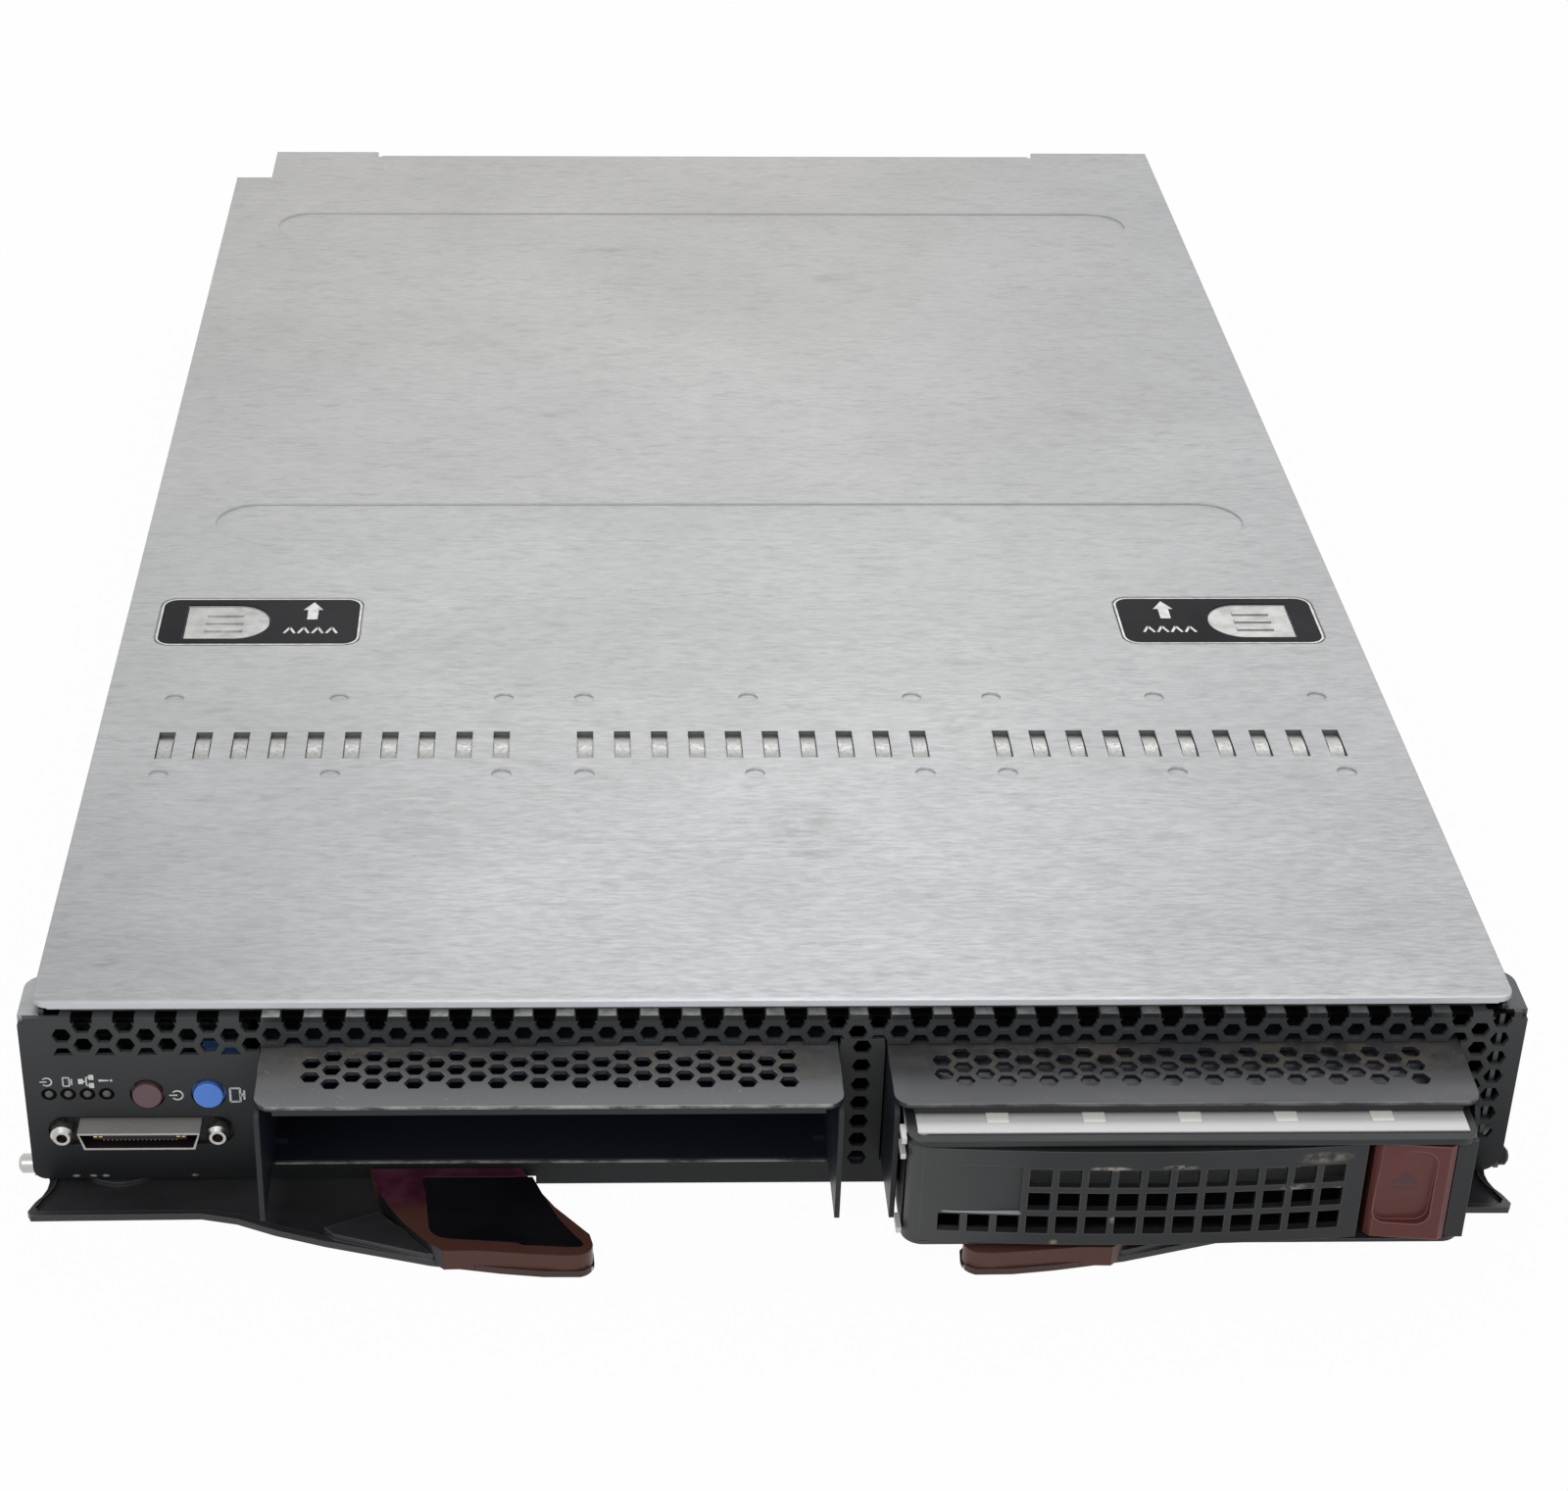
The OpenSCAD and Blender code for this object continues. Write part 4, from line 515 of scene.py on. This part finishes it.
shader_of(shell_metal).inputs["Metallic"].default_value = 0.35
# painted shade: the inside of the port's mouth is dark
mouth = overlap(shell_metal, along(shell_metal, "Z", 12.40, 12.43), along(shell_metal, "Z", 15.6, 15.57),
                along(shell_metal, "Y", -4.97, -4.9))
paint(shell_metal, mixed(shell_metal, mouth, plating, (0.030, 0.020, 0.022)))
shield_metal, body = moulded("shield_metal", (0.62, 0.61, 0.60), 0.34, tone=0.08, scale=1200, depth=0.004)
shader_of(shield_metal).inputs["Metallic"].default_value = 0.15
# painted shadow: the shield is darker at the back, under the cage's lip
body = mixed(shield_metal, along(shield_metal, "Y", -20.5, -19), body, (0.33, 0.33, 0.33))
body = mixed(shield_metal, along(shield_metal, "Z", 30.92, 30.94), body, (0.86, 0.84, 0.78))
cheek = overlap(shield_metal, along(shield_metal, "X", 23.3, 23.28), along(shield_metal, "X", 23.03, 23.04),
                along(shield_metal, "Z", 30.2, 30.1))
paint(shield_metal, mixed(shield_metal, cheek, body, (0.02, 0.02, 0.02)))
masked(shield_metal, cheek, "Specular IOR Level", 0.5, 0.1)
stud_metal = bright_metal("stud_metal", (0.50, 0.50, 0.49), 0.3)
# the right stud is dark and barely shiny
dark_right_stud = along(stud_metal, "X", -1, 1)
paint(stud_metal, mixed(stud_metal, dark_right_stud, (0.50, 0.50, 0.49), (0.03, 0.03, 0.03)))
masked(stud_metal, dark_right_stud, "Metallic", 1, 0)
masked(stud_metal, dark_right_stud, "Specular IOR Level", 0.5, 0.1)
print("made", gold.name, green_board.name)

# %% [markdown]
# ## Handing out the finishes
# Each solid keeps its shape and takes one of the finishes above. A dictionary from finish to solids
# makes it plain which piece has which, and a check at the end catches a solid that was forgotten.

# %% Finish every solid
finish_of = {
    cover_zinc: ("top_cover",),
    zinc: ("base_tray", "rear_panel"),
    zinc_inner: ("cross_beam", "carrier_tray"),
    black_paint: ("bay_floor", "left_cage", "right_cage", "bay_rails"),
    panel_paint: ("front_panel",),
    lever_paint: ("left_lever_plate", "right_lever_plate"),
    maroon: ("left_lever_grip", "right_lever_grip"),
    button_red: ("release_button",),
    power_red: ("power_button",),
    blue_cap: ("id_button",),
    gloss_black: ("left_lever_inlay", "right_lever_inlay", "push_labels"),
    gasket_paint: ("front_gasket",),
    shell_metal: ("port_shell",),
    shield_metal: ("carrier_shield",),
    matt_black: ("air_shroud", "power_inductors", "controller_chips", "port_housing"),
    carrier_black: ("carrier_bezel", "carrier_door"),
    socket_dark: ("backplane_connectors", "cpu_sockets", "memory_sockets", "power_connector",
                  "signal_connector"),
    lamp_lens: ("status_leds",),
    spring_metal: ("left_tab_spring", "right_tab_spring"),
    finger_metal: ("gasket_strips",),
    stud_metal: ("side_studs",),
    plated: ("port_jackscrews", "lever_pivots", "door_pin",
             "drive_screws", "board_screws", "heatsink_screws", "guide_sockets", "battery"),
    tab_metal: ("left_push_tab", "right_push_tab"),
    cast_alloy: ("hard_drive", "processors", "capacitors"),
    fins: ("heatsinks", "chipset_heatsink"),
    brass: ("board_standoffs",),
    green_board: ("drive_backplane", "motherboard", "memory_modules", "drive_board"),
    dark_board: ("control_board",),
}
dressed = set()
for finish, names in finish_of.items():
    for name in names:
        nodes[name].data.materials.clear()
        nodes[name].data.materials.append(finish)
        dressed.add(name)
print("solids without a finish:", sorted(set(nodes) - dressed))

# %% [markdown]
# ## Pieces drawn as outlines
# Printed marks, arrows and rims are flat shapes a few hundredths of a millimetre thick. Each one is
# a polygon drawn in the plane it lies on and given a thickness; three unit vectors say where the
# plane is. All coordinates are millimetres, with y counted from the tray's front edge.

# %% Outline helpers
LEVEL = (Vector((1, 0, 0)), Vector((0, 1, 0)), Vector((0, 0, 1)))
UPRIGHT = (Vector((1, 0, 0)), Vector((0, 0, 1)), Vector((0, -1, 0)))


def add_prism(mesh, points, plane, base, height, origin):
    right, up, out = plane
    start = Vector((0, FRONT, 0)) + Vector(origin) + out * base
    low = [mesh.verts.new((start + right * u + up * v) * MM) for u, v in points]
    high = [mesh.verts.new(v.co + out * height * MM) for v in low]
    mesh.faces.new(high)
    mesh.faces.new(low[::-1])
    count = len(low)
    for i in range(count):
        mesh.faces.new((low[i], low[(i + 1) % count], high[(i + 1) % count], high[i]))


def prisms(name, outlines, plane, base, height, finish, body, origin=(0, 0, 0)):
    mesh = bmesh.new()
    for points in outlines:
        area = sum(a[0] * b[1] - b[0] * a[1] for a, b in zip(points, points[1:] + points[:1]))
        add_prism(mesh, points if area > 0 else points[::-1], plane, base, height, origin)
    data = bpy.data.meshes.new(name)
    mesh.to_mesh(data)
    mesh.free()
    piece = bpy.data.objects.new(name, data)
    bpy.context.scene.collection.objects.link(piece)
    data.materials.append(finish)
    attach(piece, body)
    return piece


def ring(cx, cy, radius, width, start=0, end=360, steps=24):
    turns = [math.radians(start + (end - start) * i / steps) for i in range(steps + 1)]
    quads = []
    for a, b in zip(turns, turns[1:]):
        quads.append([(cx + r * math.cos(t), cy + r * math.sin(t))
                      for r, t in ((radius - width, a), (radius, a), (radius, b), (radius - width, b))])
    return quads


def stroke(points, width):
    quads = []
    for (ax, ay), (bx, by) in zip(points, points[1:]):
        length = math.hypot(bx - ax, by - ay)
        nx, ny = -(by - ay) / length * width / 2, (bx - ax) / length * width / 2
        quads.append([(ax + nx, ay + ny), (ax - nx, ay - ny), (bx - nx, by - ny), (bx + nx, by + ny)])
    return quads


def bar(x0, x1, y0, y1):
    return [(x0, y0), (x1, y0), (x1, y1), (x0, y1)]


print("outline helpers ready")

# %% [markdown]
# ## Marks on the front panel
# Four lamps, two buttons and the port carry small printed signs: a power sign, a monitor, a network
# and an exclamation mark, turned a quarter because the blade stands on its side in the enclosure.
# They are drawn as strokes, so they stay crisp at any distance, and printed 0.02 mm proud.

# %% Printed signs
def speckled_ink(name, colour, first, second):
    mat = new_finish(name, colour, 0.5)
    paint(mat, mixed(mat, squeeze(mat, noise(mat, 900), 0.4, 0.7), first, second))
    return mat


ink = speckled_ink("sign_ink", (0.66, 0.66, 0.65), (0.70, 0.70, 0.69), (0.48, 0.48, 0.48))


def power_sign(x, z, size):
    stem = bar(x - 1.3 * size, x, z - 0.13 * size, z + 0.13 * size)
    return ring(x, z, size, 0.26 * size, 218, 502, 20) + [stem]


def monitor_sign(x, z, size):
    screen = stroke([(x + 0.4 * size, z - size), (x + 0.4 * size, z + size), (x - 0.8 * size, z + size),
                     (x - 0.8 * size, z - size), (x + 0.4 * size, z - size)], 0.26 * size)
    return screen + [bar(x + 0.4 * size, x + 0.8 * size, z - 0.22 * size, z + 0.22 * size),
                     bar(x + 0.75 * size, x + size, z - 0.7 * size, z + 0.7 * size)]


def network_sign(x, z, size):
    boxes = [bar(x - 1.3 * size, x - 0.5 * size, z - 0.5 * size, z + 0.5 * size),
             bar(x + 0.4 * size, x + 1.2 * size, z - 1.3 * size, z - 0.3 * size),
             bar(x + 0.4 * size, x + 1.2 * size, z + 0.3 * size, z + 1.3 * size)]
    lines = stroke([(x - 0.5 * size, z), (x, z)], 0.24 * size)
    lines += stroke([(x + 0.4 * size, z - 0.8 * size), (x, z - 0.8 * size), (x, z + 0.8 * size),
                     (x + 0.4 * size, z + 0.8 * size)], 0.24 * size)
    return boxes + lines


def alert_sign(x, z, size):
    stem = [(x - 1.3 * size, z - 0.26 * size), (x + 0.6 * size, z - 0.12 * size),
            (x + 0.6 * size, z + 0.12 * size), (x - 1.3 * size, z + 0.26 * size)]
    return [stem, bar(x + 0.85 * size, x + 1.3 * size, z - 0.24 * size, z + 0.24 * size)]


LAMPS = (-139.1, -135.43, -131.76, -128.09)
LAMP_Z = 22.4
PANEL_FACE = 1.0  # the panel's front, ahead of the tray's front edge
PRINT = 0.02  # the thickness of printed ink
signs = (power_sign(LAMPS[0] - 0.2, 25.4, 1.05) + monitor_sign(LAMPS[1], 25.4, 1.0)
         + network_sign(LAMPS[2], 25.5, 1.2) + alert_sign(LAMPS[3], 25.7, 1.0)
         + power_sign(-114.6, 22.1, 1.2) + monitor_sign(-103.2, 22.1, 1.6))
prisms("panel_signs", signs, UPRIGHT, PANEL_FACE, PRINT, ink, "chassis")
print(len(signs), "strokes printed on the panel")

# %% [markdown]
# ## Lamp domes
# Behind each small hole of the panel a lamp ends in a low dome, a little paler than the paint. The
# solid of the lamp is a plain rod, so a flattened ball set into its end gives the round highlight.

# %% Lamp domes
dome_mesh = bmesh.new()
for x in LAMPS:
    shape = Matrix.Translation(Vector((x, FRONT - 0.8, LAMP_Z)) * MM) @ Matrix.Diagonal((1.0, 0.5, 1.0, 1.0))
    bmesh.ops.create_uvsphere(dome_mesh, u_segments=20, v_segments=12, radius=0.82 * MM, matrix=shape)
dome_data = bpy.data.meshes.new("lamp_domes")
dome_mesh.to_mesh(dome_data)
dome_mesh.free()
domes = bpy.data.objects.new("lamp_domes", dome_data)
bpy.context.scene.collection.objects.link(domes)
domes.data.materials.append(dome_grey)
for face in domes.data.polygons:
    face.use_smooth = True
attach(domes, "chassis")
print("four lamp domes")

# %% [markdown]
# ## Lamp header of the identity button
# Through the vents above the blue button a blue header shows on the control board: a small block
# with a lower step beside it. Both stand on the board's front face, 9 mm behind the panel.

# %% Lamp header
prisms("lamp_header", [bar(-110.3, -107.2, 25.4, 27.6), bar(-106.4, -103.6, 25.2, 26.2)], UPRIGHT, -9.0, 2.4,
       blue_cap, "chassis")
print("lamp header stands on the control board")

# %% [markdown]
# ## Mark on the release button
# The button's word is left out. A triangle over a bar, the common sign for taking something out,
# is moulded into the hollow instead.

# %% Release mark
mark_ink = speckled_ink("mark_shade", (0.045, 0.012, 0.013), (0.045, 0.012, 0.013), (0.06, 0.018, 0.018))
lean = Matrix.Rotation(math.radians(-1), 3, "Z") @ Matrix.Rotation(math.radians(4), 3, "X")
HOLLOW_FLOOR = tuple(lean @ axis for axis in UPRIGHT)
prisms("release_mark", [[(-2.6, 0.6), (2.6, 0.6), (0, 3.2)], bar(-2.6, 2.6, -1.0, -0.4)],
       HOLLOW_FLOOR, -0.02, 0.05, mark_ink, "release", (116.95, -26.25, 18.9))
print("release mark set")

# %% [markdown]
# ## Gloss film on the grips
# A gloss black film lies on each grip, over the inlay: wide at the back, with a swept corner and a
# pointed end that follows the grip. Its place for a name stays bare. The grip's top slopes gently,
# so the film is drawn in that sloping plane, once for the left lever and mirrored for the right.

# %% Grip films
GRIP_FALL, GRIP_RUN = 0.9, 26.6
SLOPE = math.atan(GRIP_FALL / GRIP_RUN)
GRIP_TOP = (Vector((1, 0, 0)), Vector((0, math.cos(SLOPE), -math.sin(SLOPE))),
            Vector((0, math.sin(SLOPE), math.cos(SLOPE))))


def swept_film():
    corner = [(-62.0 + 4.2 * math.cos(t), -18.2 + 4.2 * math.sin(t))
              for t in (math.radians(190 + 15 * i) for i in range(6))]
    return ([(-46.6, -3.4), (-67.2, -3.4), (-68.0, -4.2), (-67.2, -8.0)] + corner
            + [(-50.6, -23.6), (-43.0, -24.8), (-37.4, -25.2), (-36.7, -24.4), (-38.6, -21.4), (-41.6, -16.4),
               (-44.0, -10.6)])


film = swept_film()
for name, side in (("left", 1), ("right", -1)):
    prisms(name + "_grip_film", [[(x * side, y) for x, y in film]], GRIP_TOP, -0.01, 0.08, gloss_black,
           name + "_lever", (0, -1.05, 4.3))
print("film on both grips")

# %% [markdown]
# ## Latch labels
# Each push tab sits in a black film label with a bright border, an arrow that says which way the
# cover slides, and a row of chevrons in place of a word. The border is a closed strip that follows
# the label's rounded outline.

# %% Label prints
silver_ink = bright_metal("silver_ink", (0.55, 0.55, 0.54), 0.35, scale=500)


def rounded_path(cx, cy, w, l, r, steps=6):
    points = []
    for qx, qy, first in ((1, 1, 0), (-1, 1, 90), (-1, -1, 180), (1, -1, 270)):
        for i in range(steps + 1):
            t = math.radians(first + 90 * i / steps)
            points.append((cx + qx * (w / 2 - r) + r * math.cos(t), cy + qy * (l / 2 - r) + r * math.sin(t)))
    return points


def border(outer, inner):
    count = len(outer)
    return [[inner[i], outer[i], outer[(i + 1) % count], inner[(i + 1) % count]] for i in range(count)]


LABEL_X, LABEL_Y, ARROW_X = 110.4, 149.4, 98.5
CHEVRONS = 4
for side, name in ((-1, "left"), (1, "right")):
    middle = side * LABEL_X
    rim = border(rounded_path(middle, LABEL_Y, 46.2, 21.9, 3.6),
                 rounded_path(middle, LABEL_Y, 45.2, 20.9, 3.1))
    tip = side * ARROW_X
    arrow = [[(tip - 2.3, 154.9), (tip + 2.3, 154.9), (tip, 158.6)], bar(tip - 1.2, tip + 1.2, 150.4, 154.91)]
    chevrons = []
    for i in range(CHEVRONS):
        x = tip - 4.8 + 3.2 * i
        chevrons += stroke([(x - 1.2, 143.9), (x, 146.6), (x + 1.2, 143.9)], 0.6)
    prisms(name + "_label_print", rim + arrow + chevrons, LEVEL, 42.9, PRINT, silver_ink, "cover")
print("labels printed")

# %% [markdown]
# ## The port's contacts
# The front port is a ribbon connector: a tongue with two rows of gold contacts. They are all alike
# and evenly spaced, which is work for Geometry Nodes: a line of points, one small bar on each, and
# the instances made real at the end so that they are ordinary mesh.

# %% Row of contacts with Geometry Nodes
def row_tree():
    tree = bpy.data.node_groups.new("contact_row", "GeometryNodeTree")
    face = tree.interface
    sockets = {}
    for name, kind, value in (("Count", "NodeSocketInt", 20), ("Start", "NodeSocketVector", (0, 0, 0)),
                              ("Step", "NodeSocketVector", (0.001, 0, 0)),
                              ("Size", "NodeSocketVector", (0.0004, 0.002, 0.0002)),
                              ("Finish", "NodeSocketMaterial", None)):
        socket = face.new_socket(name, in_out="INPUT", socket_type=kind)
        if value is not None:
            socket.default_value = value
        sockets[name] = socket.identifier
    face.new_socket("Geometry", in_out="OUTPUT", socket_type="NodeSocketGeometry")
    new = tree.nodes.new
    given = new("NodeGroupInput")
    result = new("NodeGroupOutput")
    line = new("GeometryNodeMeshLine")
    cube = new("GeometryNodeMeshCube")
    stamp = new("GeometryNodeInstanceOnPoints")
    real = new("GeometryNodeRealizeInstances")
    dress = new("GeometryNodeSetMaterial")
    join = tree.links.new
    join(given.outputs["Count"], line.inputs["Count"])
    join(given.outputs["Start"], line.inputs["Start Location"])
    join(given.outputs["Step"], line.inputs["Offset"])
    join(given.outputs["Size"], cube.inputs["Size"])
    join(line.outputs["Mesh"], stamp.inputs["Points"])
    join(cube.outputs["Mesh"], stamp.inputs["Instance"])
    join(stamp.outputs["Instances"], real.inputs["Geometry"])
    join(real.outputs["Geometry"], dress.inputs["Geometry"])
    join(given.outputs["Finish"], dress.inputs["Material"])
    join(dress.outputs["Geometry"], result.inputs["Geometry"])
    return tree, sockets


ROW, ROW_SOCKETS = row_tree()


def row(name, body, count, start, step, size, finish):
    maker = bpy.data.objects.new(name + "_maker", bpy.data.meshes.new(name + "_maker"))
    bpy.context.scene.collection.objects.link(maker)
    modifier = maker.modifiers.new("row", "NODES")
    modifier.node_group = ROW
    here = [v * MM for v in start]
    here[1] += FRONT * MM
    values = {"Count": count, "Start": here, "Step": [v * MM for v in step], "Size": [v * MM for v in size],
              "Finish": finish}
    for key, value in values.items():
        modifier[ROW_SOCKETS[key]] = value
    bpy.context.view_layer.update()
    ready = maker.evaluated_get(bpy.context.evaluated_depsgraph_get())
    mesh = bpy.data.meshes.new_from_object(ready)
    bpy.data.objects.remove(maker)
    piece = bpy.data.objects.new(name, mesh)
    bpy.context.scene.collection.objects.link(piece)
    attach(piece, body)
    return piece


CONTACTS = 18
for side, z in (("upper", 14.52), ("lower", 13.38)):
    made = row(side + "_contacts", "chassis", CONTACTS, (-129.0, -1.7, z), (0.82, 0, 0), (0.34, 3.8, 0.24),
               dull_gold)
    print(made.name, len(made.data.polygons), "faces")
for side, x in (("left", -130.5), ("right", -114.6)):
    row(side + "_power_contacts", "chassis", 2, (x, -1.95, 14.54), (1.0, 0, 0), (0.7, 4.3, 0.28), gold)

# %% [markdown]
# ## Studio
# A pale floor and a plain white surround. The background is white because the camera sees it as
# white, not because more light falls on the server: the world and the floor answer camera and
# mirror rays with white, and light the server at an even, moderate level.

# %% World, floor and lamps
def white_to_sight(tree, plain, seen):
    ray = tree.nodes.new("ShaderNodeLightPath")
    either = tree.nodes.new("ShaderNodeMath")
    either.operation = "MAXIMUM"
    both = tree.nodes.new("ShaderNodeMath")
    both.operation = "MAXIMUM"
    blend = tree.nodes.new("ShaderNodeMixShader")
    tree.links.new(ray.outputs["Is Camera Ray"], either.inputs[0])
    tree.links.new(ray.outputs["Is Glossy Ray"], either.inputs[1])
    tree.links.new(either.outputs[0], both.inputs[0])
    tree.links.new(ray.outputs["Is Transmission Ray"], both.inputs[1])
    tree.links.new(both.outputs[0], blend.inputs[0])
    tree.links.new(plain, blend.inputs[1])
    tree.links.new(seen, blend.inputs[2])
    return blend.outputs[0], both


world = bpy.data.worlds.new("studio")
world.use_nodes = True
bpy.context.scene.world = world
sky = world.node_tree
lit = sky.nodes["Background"]
lit.inputs["Color"].default_value = (0.95, 0.97, 1.0, 1)
lit.inputs["Strength"].default_value = 0.62
seen = sky.nodes.new("ShaderNodeBackground")
seen.inputs["Color"].default_value = (1, 1, 1, 1)
seen.inputs["Strength"].default_value = 1.0
out, _ = white_to_sight(sky, lit.outputs[0], seen.outputs[0])
sky.links.new(out, sky.nodes["World Output"].inputs["Surface"])

floor_mesh = bpy.data.meshes.new("floor")
REACH = 6.0  # half the floor's width, in metres
floor_mesh.from_pydata([(-REACH, -REACH, 0), (REACH, -REACH, 0), (REACH, REACH, 0), (-REACH, REACH, 0)], [],
                       [(0, 1, 2, 3)])
floor = bpy.data.objects.new("floor", floor_mesh)
bpy.context.scene.collection.objects.link(floor)
paper = new_finish("floor_paper", (0.86, 0.86, 0.86), 0.9)
glow = paper.node_tree.nodes.new("ShaderNodeEmission")
glow.inputs["Strength"].default_value = 1.0
out, sight = white_to_sight(paper.node_tree, shader_of(paper).outputs[0], glow.outputs[0])
share = paper.node_tree.nodes.new("ShaderNodeMath")
share.operation = "MULTIPLY"
share.inputs[1].default_value = 0.97
paper.node_tree.links.new(sight.outputs[0], share.inputs[0])
paper.node_tree.links.new(share.outputs[0], out.node.inputs[0])
paper.node_tree.links.new(out, paper.node_tree.nodes["Material Output"].inputs["Surface"])
floor_mesh.materials.append(paper)


def soft_lamp(name, place, size, power):
    data = bpy.data.lights.new(name, "AREA")
    data.shape = "RECTANGLE"
    data.size, data.size_y = size
    data.energy = power
    lamp = bpy.data.objects.new(name, data)
    lamp.matrix_world = (Matrix.Translation(place)
                         @ (-Vector(place)).to_track_quat("-Z", "Y").to_matrix().to_4x4())
    bpy.context.scene.collection.objects.link(lamp)


soft_lamp("lamp_front", (-0.5, -1.6, 1.3), (1.2, 0.8), 8)
soft_lamp("lamp_back", (0.4, 1.6, 1.5), (1.6, 0.8), 7)
print("studio lit")

# %% [markdown]
# ## Finish
# A small helper rounds the corners of a box to six places.

# %% Sizes
def plain(box):
    return [[round(c, 6) for c in corner] for corner in box]
